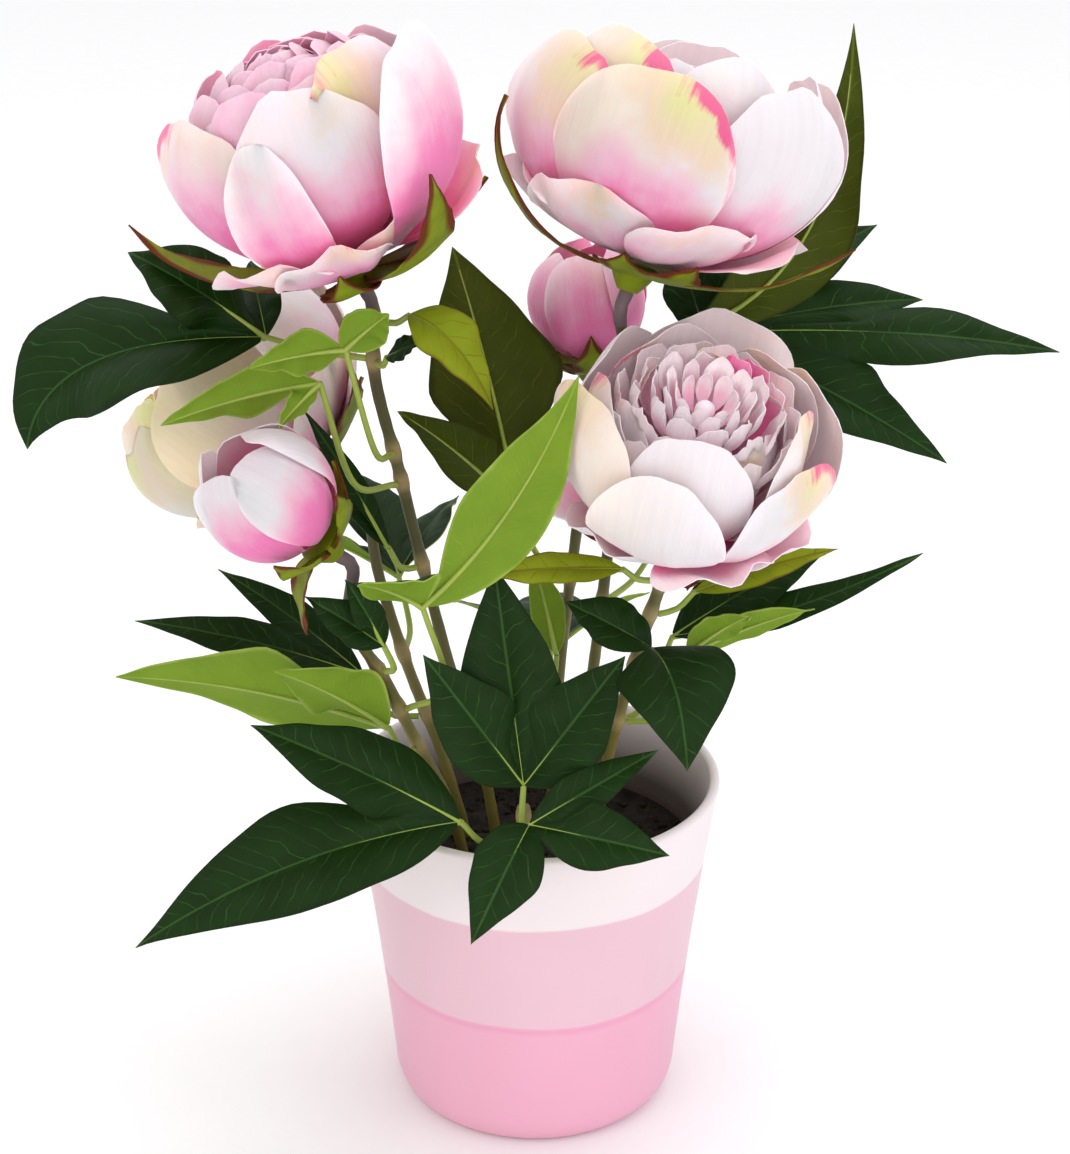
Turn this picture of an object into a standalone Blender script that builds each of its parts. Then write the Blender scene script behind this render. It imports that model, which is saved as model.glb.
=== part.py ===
"""A potted peony: four open blooms, two buds and their leaves in a three-tone ceramic pot.

Lengths are in metres and +Z is up. The origin is the middle of the pot's flat bottom, and the
front of the plant faces -Y.
"""

import math
import random
from collections import namedtuple

import bmesh
import bpy
from mathutils import Matrix, Vector

# Driving dimensions of the pot and the soil
POT_HEIGHT = 0.131
POT_FOOT_RADIUS = 0.0529
POT_TAPER = 0.0885
POT_FLARE = 0.265
POT_WALL = 0.0038
POT_FLOOR = 0.006
POT_FOOT_HEIGHT = 0.014
POT_FOOT_INSET = 0.009
POT_STEPS = 30
OUTER_LEVELS = (0.100, 0.066, 0.036, POT_FOOT_HEIGHT)
INNER_LEVELS = (0.112, 0.080, 0.045, 0.020)
SOIL_BELOW_RIM = 0.031
SOIL_MOUND = 0.003
MOUND_PARTS = (0, 0.55)
CLEARANCE = 0.0003

# Stems and leaf stalks
STEM_RADIUS = 0.0021
STALK_RADIUS = 0.0011
STEM_ROUNDNESS = 2
STALK_ROUNDNESS = 1
ROOM_FOR_STEM = STEM_RADIUS + CLEARANCE
PATH_STEP = 0.024
HOLE_POINTS = 8
STRAIGHT_NECK = 0.008
STALK_TUCK = 0.002

# Blooms and leaves
PETAL_THICKNESS = 0.0007
LEAF_THICKNESS = 0.0007
SEPAL_THICKNESS = 0.0008
CUP_RADIUS = 0.0085
CUP_NECK_RADIUS = 0.0038
CUP_DEPTH = 0.010
SEPAL_FOOT = (0.004, -0.0025)
SEPAL_CUP = 0.045
CORE_SEGMENTS = 8
CORE_RINGS = 6
MIDLINE_STEPS = 12
LEAF_ROWS = 4
LEAF_ROW_BIAS = 1.15
LEAF_FOLD = 0.16
LEAF_WAVE = 0.10

Petal = namedtuple("Petal", "length width start height rise cup tip pointed")
Ring = namedtuple("Ring", "count petal turn step rows columns")
Head = namedtuple("Head", "base towards twist under scale seed rings core sepals")
Leaf = namedtuple("Leaf", "stem root base up lobes fused", defaults=(0.21,))
Lobe = namedtuple("Lobe", "tip width arch via", defaults=(0.10, None))
Draw = namedtuple("Draw", "lean size turn tilt")


def petal(length, width, start, height, rise, cup, tip=0.62, pointed=False):
    return Petal(length, width, start, height, rise, cup, tip, pointed)


# Rings of petals at full size, from the outside in. A rise of 0 points outward, 90 points up.
GUARD = Ring(6, petal(0.056, 0.050, 0.005, 0.0028, (-3, 25, 54), 0.075), 0, 60, 2, 2)
OUTER = Ring(6, petal(0.099, 0.070, 0.006, 0.0045, (2, 57, 155), 0.053), 28, 60, 4, 3)
INNER = Ring(5, petal(0.092, 0.064, 0.006, 0.0078, (8, 62, 150), 0.046), 60, 72, 3, 2)
BLOOM_RINGS = (
    GUARD, OUTER, INNER,
    Ring(4, petal(0.076, 0.050, 0.007, 0.0120, (20, 70, 145), 0.034), 24, 90, 2, 1),
)
DOMED_BLOOM_RINGS = (
    GUARD, OUTER, INNER,
    Ring(6, petal(0.072, 0.042, 0.012, 0.0190, (22, 72, 152), 0.026), 14, 60, 3, 1),
)
OPEN_BLOOM_RINGS = (
    GUARD,
    Ring(6, petal(0.097, 0.070, 0.006, 0.0045, (3, 57, 130), 0.053), 28, 60, 4, 3),
    Ring(5, petal(0.088, 0.062, 0.006, 0.0078, (10, 63, 128), 0.046), 60, 72, 3, 2),
    Ring(5, petal(0.072, 0.044, 0.007, 0.0120, (22, 72, 120), 0.037), 24, 72, 3, 1),
    Ring(5, petal(0.036, 0.024, 0.012, 0.0320, (44, 76, 106), 0.020), 50, 72, 2, 1),
)
BUD_RINGS = (
    Ring(5, petal(0.062, 0.040, 0.004, 0.0020, (12, 84, 160), 0.021), 0, 72, 3, 2),
)
BLOOM_CORE = (0.024, 0.0225, 0.023)
BUD_CORE = (0.0165, 0.0195, 0.0195)

# Each sepal: degrees round the cup, length, width and rise.
WIDE_SEPALS = (
    (18, 0.048, 0.024, (-6, 16, 28)),
    (90, 0.038, 0.022, (-6, 15, 22)),
    (160, 0.044, 0.022, (-6, 16, 26)),
    (232, 0.040, 0.024, (-6, 15, 24)),
    (294, 0.046, 0.024, (-7, 15, 40)),
)
SPREAD_SEPALS = (
    (-12, 0.054, 0.016, (-6, 22, 42)),
    (90, 0.040, 0.022, (-6, 15, 22)),
    (158, 0.084, 0.018, (-6, 26, 64)),
    (257, 0.036, 0.024, (-8, 12, 88)),
    (302, 0.076, 0.027, (-6, 32, 88)),
)
HUGGING_SEPALS = (
    (24, 0.030, 0.026, (-8, 12, 38)),
    (66, 0.036, 0.028, (-8, 14, 44)),
    (112, 0.078, 0.018, (-6, 24, 52)),
    (200, 0.044, 0.022, (-6, 16, 26)),
    (324, 0.086, 0.015, (-4, 34, 100)),
)
LOOSE_SEPALS = (
    (22, 0.030, 0.017, (-4, 44, 76)),
    (84, 0.028, 0.016, (-4, 42, 70)),
    (152, 0.044, 0.020, (-4, 50, 60)),
    (250, 0.034, 0.016, (-14, -40, -70)),
    (304, 0.032, 0.018, (-4, 40, 66)),
)
BUD_SEPALS = (
    (0, 0.032, 0.017, (-4, 48, 86)),
    (75, 0.026, 0.015, (-4, 42, 70)),
    (150, 0.030, 0.016, (-4, 46, 80)),
    (222, 0.024, 0.015, (-4, 38, 60)),
    (292, 0.030, 0.016, (-4, 46, 76)),
)

# Blooms and buds: foot, a point on the axis, the petals' turn in degrees, how much further the
# calyx and the outermost petals are turned, scale, and what they are made of.
HEADS = {
    "a": Head((-0.060, -0.025, 0.334), (-0.0735, -0.029, 0.376), 130, -45, 0.96, 11,
              DOMED_BLOOM_RINGS, BLOOM_CORE, SPREAD_SEPALS),
    "b": Head((0.034, -0.015, 0.331), (0.047, -0.007, 0.374), 116, -5, 0.96, 12,
              BLOOM_RINGS, BLOOM_CORE, HUGGING_SEPALS),
    "c": Head((0.049, -0.040, 0.246), (0.055, -0.061, 0.292), 37, -12, 0.82, 13,
              OPEN_BLOOM_RINGS, BLOOM_CORE, WIDE_SEPALS),
    "d": Head((-0.079, 0.036, 0.243), (-0.114, 0.042, 0.269), 50, 0, 0.90, 14,
              BLOOM_RINGS, BLOOM_CORE, WIDE_SEPALS),
    "e": Head((-0.073, -0.055, 0.247), (-0.091, -0.062, 0.268), 20, 0, 0.94, 15,
              BUD_RINGS, BUD_CORE, LOOSE_SEPALS),
    "f": Head((0.022, 0.060, 0.272), (0.020, 0.060, 0.292), 0, 0, 0.92, 16,
              BUD_RINGS, BUD_CORE, BUD_SEPALS),
}

# Petals that lie otherwise than the rest of their ring, by bloom, ring and number: width, degrees
# of turn and of tilt, length, and rise.
OWN_PETALS = {
    ("a", 0, 3): (0.95, 40, 8, 0.94, (-4, 24, 56)),
    ("a", 0, 4): (0.85, 17, 8, 0.92, (-4, 25, 58)),
    ("a", 0, 5): (0.90, 4, 8, 0.86, (-2, 34, 66)),
    ("a", 1, 0): (0.90, 0, 8, 0.86, (4, 60, 150)),
    ("a", 1, 1): (0.90, 0, 8, 0.76, (6, 60, 150)),
    ("a", 1, 2): (1.04, 8, 8, 0.95, (8, 63, 134)),
    ("a", 1, 3): (0.44, -8, 4, 0.90, (2, 54, 130)),
    ("a", 1, 4): (0.96, 11, 2, 1.06, (4, 60, 132)),
    ("a", 1, 5): (0.80, 8, 8, 0.90, (6, 66, 150)),
    ("a", 2, 0): (0.90, 0, 8, 0.84, (10, 64, 150)),
    ("a", 2, 1): (0.84, 40, 8, 0.86, (12, 66, 140)),
    ("a", 2, 2): (0.88, 18, 6, 1.00, (10, 64, 140)),
    ("a", 2, 3): (0.84, -16, -4, 1.00, (18, 70, 140)),
    ("b", 1, 0): (0.98, -11, 0, 1.00, (2, 54, 148)),
    ("b", 1, 1): (0.98, -10, -6, 1.04, (4, 58, 142)),
    ("b", 1, 2): (0.98, -4, 8, 1.08, (2, 60, 138)),
    ("b", 1, 3): (1.00, 0, 8, 1.10, (2, 60, 132)),
    ("b", 1, 5): (1.00, 0, 8, 1.03, (2, 56, 148)),
    ("b", 2, 0): (0.94, -4, 8, 1.00, (14, 68, 140)),
    ("b", 2, 1): (1.00, -4, 8, 1.06, (10, 64, 138)),
    ("b", 2, 2): (1.00, 0, 8, 1.08, (10, 64, 134)),
    ("b", 2, 4): (1.00, 0, 8, 1.02, (12, 66, 146)),
    ("c", 0, 2): (0.80, 16, 8, 1.20, (-8, 12, 20)),
    ("c", 0, 4): (1.00, 6, 8, 1.00, (-2, 26, 50)),
    ("c", 1, 0): (1.00, 0, 8, 1.06, (3, 57, 130)),
    ("c", 1, 2): (0.95, 4, 8, 1.14, (6, 62, 132)),
    ("c", 1, 3): (0.82, -9, 6, 1.06, (2, 55, 130)),
    ("c", 1, 4): (0.82, -5, -4, 0.98, (2, 56, 128)),
    ("c", 2, 2): (0.90, 5, 4, 1.16, (14, 68, 126)),
    ("c", 2, 3): (0.90, 2, 8, 1.08, (14, 67, 128)),
}

# Routes of the stems, from the soil up. A stem that bears a bloom goes on to its cup.
STEMS = {
    "a": ((-0.010, -0.002, 0.055), (-0.014, -0.003, 0.100), (-0.020, -0.005, 0.138),
          (-0.031, 0.000, 0.173), (-0.040, -0.002, 0.213), (-0.048, -0.008, 0.254),
          (-0.055, -0.015, 0.290)),
    "b": ((0.009, 0.004, 0.055), (0.012, 0.005, 0.100), (0.014, 0.005, 0.125),
          (0.020, 0.008, 0.157), (0.025, 0.008, 0.201), (0.028, 0.004, 0.238),
          (0.031, -0.008, 0.290)),
    "c": ((0.017, -0.006, 0.055), (0.022, -0.008, 0.100), (0.026, -0.010, 0.137),
          (0.034, -0.020, 0.178), (0.041, -0.030, 0.210)),
    "d": ((-0.018, 0.006, 0.055), (-0.026, 0.006, 0.100), (-0.036, 0.008, 0.137),
          (-0.048, 0.016, 0.168), (-0.058, 0.024, 0.200), (-0.062, 0.031, 0.224)),
    "e": ((-0.017, -0.014, 0.055), (-0.025, -0.020, 0.100), (-0.032, -0.025, 0.132),
          (-0.044, -0.028, 0.160), (-0.053, -0.035, 0.185), (-0.064, -0.045, 0.212)),
    "f": ((0.004, 0.015, 0.055), (0.006, 0.018, 0.100), (0.009, 0.022, 0.159),
          (0.015, 0.040, 0.206), (0.020, 0.056, 0.240)),
    "g": ((-0.002, -0.028, 0.055), (-0.003, -0.040, 0.100), (-0.004, -0.050, 0.130),
          (-0.004, -0.053, 0.144)),
}

# Leaves: the stem and height they grow from, where the blade starts, which way its dark face
# looks, the tips and widths of its lobes, and how far along the lobes are joined.
LEAVES = {
    "leaf_upper_left": Leaf("a", 0.298, (-0.092, -0.015, 0.305), (-0.1, -0.5, 0.85), (
        Lobe((-0.138, -0.012, 0.334), 0.034),
        Lobe((-0.174, -0.028, 0.269), 0.056, via=(-0.170, -0.014, 0.306)),
        Lobe((-0.100, 0.020, 0.322), 0.016))),
    "leaf_light_upper": Leaf("a", 0.262, (-0.063, -0.041, 0.309), (0.1, 0.9, 0.4), (
        Lobe((-0.094, -0.053, 0.306), 0.020),
        Lobe((-0.048, -0.044, 0.322), 0.018))),
    "leaf_light_lower": Leaf("a", 0.250, (-0.072, -0.040, 0.297), (-0.1, 0.9, 0.4), (
        Lobe((-0.126, -0.041, 0.282), 0.020),
        Lobe((-0.086, -0.052, 0.284), 0.010))),
    "leaf_small_upper": Leaf("a", 0.298, (-0.050, -0.028, 0.302), (0.2, -0.7, 0.7), (
        Lobe((-0.036, -0.042, 0.312), 0.010),)),
    "leaf_bract": Leaf("a", 0.314, (-0.042, -0.032, 0.318), (0.3, -0.7, 0.6), (
        Lobe((-0.014, -0.042, 0.288), 0.020, via=(-0.026, -0.046, 0.318)),)),
    "leaf_narrow_left": Leaf("a", 0.216, (-0.052, -0.012, 0.226), (0.3, -0.8, 0.5), (
        Lobe((-0.081, -0.013, 0.279), 0.009),
        Lobe((-0.078, 0.000, 0.256), 0.009))),
    "leaf_mid_left": Leaf("e", 0.190, (-0.052, -0.052, 0.206), (0.3, -0.8, 0.5), (
        Lobe((-0.078, -0.056, 0.226), 0.015),
        Lobe((-0.064, -0.060, 0.234), 0.012))),
    "leaf_back_centre": Leaf("f", 0.196, (-0.006, 0.026, 0.226), (0.1, 0.8, 0.55), (
        Lobe((-0.030, 0.046, 0.320), 0.054),
        Lobe((0.022, 0.034, 0.268), 0.026),
        Lobe((-0.050, 0.026, 0.264), 0.030))),
    "leaf_folded_front": Leaf("e", 0.172, (-0.038, -0.060, 0.224), (0.3, 0.8, 0.5), (
        Lobe((0.014, -0.083, 0.314), 0.030, via=(-0.004, -0.078, 0.262)),
        Lobe((-0.058, -0.079, 0.240), 0.030))),
    "leaf_light_left": Leaf("e", 0.156, (-0.052, -0.038, 0.168), (-0.1, 0.85, 0.5), (
        Lobe((-0.150, -0.024, 0.181), 0.044),
        Lobe((-0.090, -0.054, 0.197), 0.030))),
    "leaf_dark_left": Leaf("d", 0.150, (-0.064, 0.010, 0.166), (0.0, -0.5, 0.86), (
        Lobe((-0.148, 0.012, 0.187), 0.019),
        Lobe((-0.120, 0.040, 0.196), 0.016))),
    "leaf_lower_left": Leaf("g", 0.128, (-0.026, -0.062, 0.143), (-0.1, -0.6, 0.8), (
        Lobe((-0.099, -0.053, 0.176), 0.030),
        Lobe((-0.140, -0.077, 0.101), 0.042, via=(-0.086, -0.074, 0.140)))),
    "leaf_over_rim": Leaf("g", 0.134, (-0.002, -0.074, 0.148), (0.1, -0.8, 0.6), (
        Lobe((-0.022, -0.093, 0.112), 0.025, via=(-0.010, -0.094, 0.142)),
        Lobe((0.046, -0.083, 0.141), 0.024),
        Lobe((0.043, -0.056, 0.168), 0.015))),
    "leaf_centre": Leaf("g", 0.140, (-0.004, -0.056, 0.154), (0.0, -0.85, 0.5), (
        Lobe((-0.038, -0.064, 0.208), 0.030),
        Lobe((-0.014, -0.046, 0.234), 0.036),
        Lobe((0.031, -0.056, 0.204), 0.030))),
    "leaf_right_droop": Leaf("c", 0.186, (0.040, -0.050, 0.204), (0.2, -0.7, 0.7), (
        Lobe((0.051, -0.088, 0.176), 0.042, via=(0.049, -0.078, 0.208)),
        Lobe((0.010, -0.044, 0.219), 0.020))),
    "leaf_right_low": Leaf("b", 0.150, (0.050, -0.004, 0.188), (0.1, -0.5, 0.85), (
        Lobe((0.106, 0.004, 0.219), 0.026),
        Lobe((0.138, -0.012, 0.224), 0.014, via=(0.094, -0.016, 0.200)))),
    "leaf_right_light": Leaf("c", 0.160, (0.054, -0.028, 0.192), (0.1, 0.9, 0.4), (
        Lobe((0.075, -0.044, 0.214), 0.014),
        Lobe((0.098, -0.032, 0.211), 0.013))),
    "leaf_right_large": Leaf("b", 0.278, (0.061, 0.028, 0.293), (0.0, -0.6, 0.8), (
        Lobe((0.187, 0.018, 0.289), 0.034),
        Lobe((0.140, 0.036, 0.303), 0.030),
        Lobe((0.124, 0.050, 0.327), 0.030),
        Lobe((0.147, 0.004, 0.252), 0.036),
        Lobe((0.050, 0.040, 0.322), 0.022)), 0.46),
    "leaf_beside_bloom": Leaf("b", 0.290, (0.056, 0.017, 0.298), (0.5, 0.6, 0.6), (
        Lobe((0.107, 0.010, 0.407), 0.032, via=(0.111, 0.024, 0.316)),)),
    "bract_left": Leaf("c", 0.222, (0.030, -0.046, 0.232), (-0.1, -0.7, 0.7), (
        Lobe((-0.021, -0.062, 0.236), 0.012),)),
    "bract_right": Leaf("c", 0.208, (0.056, -0.028, 0.216), (0.1, -0.7, 0.7), (
        Lobe((0.104, -0.040, 0.237), 0.012),)),
    "leaf_small_centre": Leaf("b", 0.150, (0.008, 0.006, 0.176), (0.0, 0.9, 0.4), (
        Lobe((-0.001, 0.016, 0.212), 0.013),)),
    "leaf_back_left": Leaf("d", 0.172, (-0.052, 0.044, 0.192), (-0.1, 0.5, 0.85), (
        Lobe((-0.104, 0.064, 0.206), 0.024),
        Lobe((-0.072, 0.098, 0.214), 0.030),
        Lobe((-0.030, 0.092, 0.206), 0.024))),
    "leaf_back_right": Leaf("b", 0.196, (0.048, 0.034, 0.214), (0.1, 0.5, 0.85), (
        Lobe((0.106, 0.040, 0.230), 0.026),
        Lobe((0.094, 0.086, 0.238), 0.032),
        Lobe((0.050, 0.094, 0.230), 0.024))),
    "leaf_back_low": Leaf("f", 0.142, (0.006, 0.050, 0.158), (0.0, 0.6, 0.8), (
        Lobe((-0.034, 0.094, 0.160), 0.024),
        Lobe((0.004, 0.112, 0.156), 0.034),
        Lobe((0.046, 0.088, 0.166), 0.024))),
}

POT_COLOUR = (0.93, 0.78, 0.83)
SOIL_COLOUR = (0.05, 0.035, 0.025)
STEM_COLOUR = (0.16, 0.17, 0.06)
CALYX_COLOUR = (0.22, 0.26, 0.05)
PETAL_COLOUR = (0.92, 0.62, 0.72)
LEAF_COLOUR = (0.02, 0.09, 0.03)
BRACT_COLOUR = (0.18, 0.2, 0.02)


def clear_scene():
    for thing in list(bpy.data.objects):
        bpy.data.objects.remove(thing)


def collection(name):
    group = bpy.data.collections.new(name)
    bpy.context.scene.collection.children.link(group)
    return group


def material(name, colour, roughness):
    look = bpy.data.materials.new(name)
    look.use_nodes = True
    shader = look.node_tree.nodes["Principled BSDF"]
    shader.inputs["Base Color"].default_value = (*colour, 1)
    shader.inputs["Roughness"].default_value = roughness
    shader.inputs["Metallic"].default_value = 0
    return look


def place(group, name, data, look=None):
    thing = bpy.data.objects.new(name, data)
    group.objects.link(thing)
    if look:
        data.materials.append(look)
    return thing


def evaluated_mesh(thing):
    bpy.context.view_layer.update()
    graph = bpy.context.evaluated_depsgraph_get()
    return bpy.data.meshes.new_from_object(thing.evaluated_get(graph))


def islands(shape):
    """The separate bodies of a bmesh, as sets of faces"""
    left = set(shape.faces)
    while left:
        body = {left.pop()}
        edge_of_body = list(body)
        while edge_of_body:
            face = edge_of_body.pop()
            for edge in face.edges:
                for neighbour in edge.link_faces:
                    if neighbour in left:
                        left.remove(neighbour)
                        body.add(neighbour)
                        edge_of_body.append(neighbour)
        yield body


def reach(body):
    """Length of the diagonal of a body's box"""
    places = [corner.co for face in body for corner in face.verts]
    low = Vector(min(place[n] for place in places) for n in range(3))
    high = Vector(max(place[n] for place in places) for n in range(3))
    return (high - low).length


def keep_outer_body(mesh):
    """Fills the hollows that fusing sealed and drops loose scraps"""
    shape = bmesh.new()
    shape.from_mesh(mesh)
    bodies = sorted(islands(shape), key=reach)
    spare = [face for body in bodies[:-1] for face in body]
    bmesh.ops.delete(shape, geom=spare, context="FACES")
    shape.to_mesh(mesh)
    shape.free()


def fuse(body, pieces):
    """Joins the pieces to the body and removes them"""
    group = collection(body.name + "_pieces")
    for piece in pieces:
        for old in piece.users_collection:
            old.objects.unlink(piece)
        group.objects.link(piece)
    union = body.modifiers.new("Union", "BOOLEAN")
    union.operation = "UNION"
    union.operand_type = "COLLECTION"
    union.collection = group
    union.solver = "MANIFOLD"
    mesh = evaluated_mesh(body)
    body.modifiers.clear()
    keep_outer_body(mesh)
    body.data = mesh
    for piece in pieces:
        bpy.data.objects.remove(piece)
    bpy.data.collections.remove(group)


def turned(group, name, profile, look):
    """A profile of (radius, height) points turned round the Z axis"""
    mesh = bpy.data.meshes.new(name)
    corners = [(radius, 0, height) for radius, height in profile]
    mesh.from_pydata(corners, [(n, n + 1) for n in range(len(corners) - 1)], [])
    thing = place(group, name, mesh, look)
    screw = thing.modifiers.new("Turn", "SCREW")
    screw.axis = "Z"
    screw.steps = POT_STEPS
    screw.render_steps = POT_STEPS
    screw.use_merge_vertices = True
    screw.merge_threshold = 0.00001
    return thing


def pot_radius(height):
    return POT_FOOT_RADIUS + POT_TAPER * height + POT_FLARE * height * height


def quarter_round(radius, height, across, down, steps):
    """Points from a wall at (radius, height) in to a floor, round an elliptic corner"""
    turns = [n / steps * math.pi / 2 for n in range(1, steps + 1)]
    return [(radius - across * (1 - math.cos(turn)), height - down * math.sin(turn))
            for turn in turns]


def inner_profile(inset, levels):
    """The hollow of the pot, down through the levels to its middle, `inset` inside the wall"""
    points = [(pot_radius(level) - POT_WALL - inset, level) for level in levels]
    radius, height = points[-1]
    floor = POT_FLOOR + inset
    corner = quarter_round(radius, height, POT_FOOT_INSET, height - floor, 2)
    return points + corner + [(0, floor)]


def make_pot(group):
    lip = POT_WALL / 2
    shoulder = POT_HEIGHT - lip
    middle = pot_radius(POT_HEIGHT) - lip
    turns = [math.pi * (1 - n / 3) for n in range(4)]
    rim = [(middle + lip * math.cos(turn), shoulder + lip * math.sin(turn)) for turn in turns]
    wall = [(pot_radius(level), level) for level in OUTER_LEVELS]
    radius, height = wall[-1]
    foot = quarter_round(radius, height, POT_FOOT_INSET, height, 2)
    hollow = inner_profile(0, INNER_LEVELS)[::-1]
    profile = hollow + rim + wall + foot + [(0, 0)]
    turned(group, "pot", profile, material("pot glaze", POT_COLOUR, 0.3))


def make_soil(group, holes):
    top = POT_HEIGHT - SOIL_BELOW_RIM
    side = inner_profile(CLEARANCE, (top, *INNER_LEVELS[1:]))
    edge = side[0][0]
    mound = [(edge * part, top + SOIL_MOUND * (1 - part * part)) for part in MOUND_PARTS]
    soil = turned(group, "soil", mound + side, material("soil", SOIL_COLOUR, 0.95))
    cut = soil.modifiers.new("Stem holes", "BOOLEAN")
    cut.operation = "DIFFERENCE"
    cut.operand_type = "COLLECTION"
    cut.collection = holes


def smooth_path(route):
    """Points along a smooth curve through the route's points"""
    ends = [2 * route[0] - route[1], *route, 2 * route[-1] - route[-2]]
    path = [route[0]]
    for before, start, end, after in zip(ends, ends[1:], ends[2:], ends[3:]):
        count = max(1, round((end - start).length / PATH_STEP))
        for n in range(1, count + 1):
            part = n / count
            pull_in = (end - before) / 2
            pull_out = (after - start) / 2
            path.append(
                start * (2 * part**3 - 3 * part**2 + 1)
                + pull_in * (part**3 - 2 * part**2 + part)
                + end * (3 * part**2 - 2 * part**3)
                + pull_out * (part**3 - part**2))
    return path


def tube(group, name, path, radius, roundness, look=None):
    curve = bpy.data.curves.new(name, "CURVE")
    curve.dimensions = "3D"
    curve.bevel_depth = radius
    curve.bevel_resolution = roundness
    curve.use_fill_caps = True
    spline = curve.splines.new("POLY")
    spline.points.add(len(path) - 1)
    for point, spot in zip(spline.points, path):
        point.co = (*spot, 1)
    return place(group, name, curve, look)


def tube_mesh(group, name, path, radius, roundness):
    """A tube whose caps are welded on, for a Boolean"""
    curve = tube(group, name + "_curve", path, radius, roundness)
    mesh = evaluated_mesh(curve)
    shape = bmesh.new()
    shape.from_mesh(mesh)
    bmesh.ops.remove_doubles(shape, verts=shape.verts, dist=0.00001)
    shape.to_mesh(mesh)
    shape.free()
    thing = place(group, name, mesh)
    thing.matrix_world = curve.matrix_world
    bpy.data.objects.remove(curve)
    return thing


def head_frame(head):
    """Scaled, with its origin at the foot of a bloom's petals and Z along its axis"""
    axis = Vector(head.towards) - Vector(head.base)
    turn = Matrix.Rotation(math.radians(head.twist), 4, "Z") @ Matrix.Scale(head.scale, 4)
    return Matrix.Translation(head.base) @ axis.to_track_quat("Z", "Y").to_matrix().to_4x4() @ turn


def stem_path(name):
    route = [Vector(point) for point in STEMS[name]]
    if name in HEADS:
        head = HEADS[name]
        axis = (Vector(head.towards) - Vector(head.base)).normalized()
        top = Vector(head.base) - axis * (CUP_DEPTH * head.scale + CLEARANCE)
        route += [top - axis * STRAIGHT_NECK, top]
    return smooth_path(route)


def make_stems(group, holes):
    look = material("stem", STEM_COLOUR, 0.6)
    paths = {}
    for name in STEMS:
        path = stem_path(name)
        tube(group, "stem_" + name, path, STEM_RADIUS, STEM_ROUNDNESS, look)
        start = path[0] + (path[0] - path[1]).normalized() * CLEARANCE
        hole = tube_mesh(holes, "hole_" + name, [start, *path[1:HOLE_POINTS]], ROOM_FOR_STEM,
                         STEM_ROUNDNESS)
        hole.hide_render = True
        hole.display_type = "WIRE"
        paths[name] = path
    return paths


def rise_at(rise, part):
    """Direction of a petal's middle line, through its three angles"""
    low, middle, high = (math.radians(angle) for angle in rise)
    return (low * (1 - part) * (1 - 2 * part) + middle * 4 * part * (1 - part)
            + high * part * (2 * part - 1))


def middle_line(shape, part, lean):
    """Radius, height and direction of a petal's middle at a part of its length"""
    radius, height = shape.start, shape.height
    step = part * shape.length / MIDLINE_STEPS
    for n in range(MIDLINE_STEPS):
        along = part * (n + 0.5) / MIDLINE_STEPS
        angle = rise_at(shape.rise, along) + lean * along
        radius += step * math.cos(angle)
        height += step * math.sin(angle)
    return radius, height, rise_at(shape.rise, part) + lean * part


def blade_breadth(part):
    """Half width of a leaf or sepal, of 1, that runs out to a point"""
    return max(0.0, math.sin(math.pi * part**0.75)) ** 1.1


def petal_breadth(part):
    """Half width of a petal, of 1, narrow at its foot"""
    return 0.05 + 0.95 * math.sin(min(1.0, part / 0.64) * math.pi / 2) ** 1.25


def petal_point(shape, draw, along, across):
    """A point of a petal in its bloom's frame, with the petal turned to +X"""
    if shape.pointed:
        part = along
        half = shape.width / 2 * blade_breadth(part)
    else:
        part = along * (shape.tip + (1 - shape.tip) * (1 - abs(across) ** 2.2) ** 0.45)
        half = shape.width / 2 * petal_breadth(part)
    half *= draw.size
    radius, height, angle = middle_line(shape, part, draw.lean)
    turn = across * half / shape.cup
    side = shape.cup * math.sin(turn)
    inward = shape.cup * (1 - math.cos(turn))
    tilt = draw.tilt * part**0.6
    side, inward = (side * math.cos(tilt) - inward * math.sin(tilt),
                    side * math.sin(tilt) + inward * math.cos(tilt))
    return Vector((radius - inward * math.sin(angle), side, height + inward * math.cos(angle)))


def sheet(group, name, corners, faces, thickness):
    """A thin closed solid on an open surface, split alike on both faces"""
    shape = bmesh.new()
    spots = [shape.verts.new(corner) for corner in corners]
    for face in faces:
        shape.faces.new([spots[n] for n in face])
    bmesh.ops.remove_doubles(shape, verts=shape.verts, dist=0.00002)
    bmesh.ops.triangulate(shape, faces=shape.faces)
    mesh = bpy.data.meshes.new(name)
    shape.to_mesh(mesh)
    shape.free()
    thing = place(group, name, mesh)
    solid = thing.modifiers.new("Thickness", "SOLIDIFY")
    solid.thickness = thickness
    solid.offset = 0
    return thing


def grid_faces(rows, columns):
    wide = columns + 1
    return [(row * wide + n, row * wide + n + 1, (row + 1) * wide + n + 1, (row + 1) * wide + n)
            for row in range(rows) for n in range(columns)]


def make_petal(group, name, shape, draw, turn, rows, columns, thickness):
    spin = Matrix.Rotation(turn, 3, "Z")
    corners = [spin @ petal_point(shape, draw, row / rows, 2 * n / columns - 1)
               for row in range(rows + 1) for n in range(columns + 1)]
    return sheet(group, name, corners, grid_faces(rows, columns), thickness)


def petal_draw(chance):
    return Draw(math.radians(chance.uniform(-1.5, 1.5)), chance.uniform(0.95, 1.05),
                math.radians(chance.uniform(-2, 2)), math.radians(chance.uniform(7, 9)))


def own_form(place, shape, draw):
    """The form and draw of a petal, changed if it lies otherwise than the rest of its ring"""
    if place not in OWN_PETALS:
        return shape, draw
    size, turn, tilt, long, rise = OWN_PETALS[place]
    draw = Draw(0, size, math.radians(turn), math.radians(tilt))
    return shape._replace(length=shape.length * long, rise=rise), draw


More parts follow.
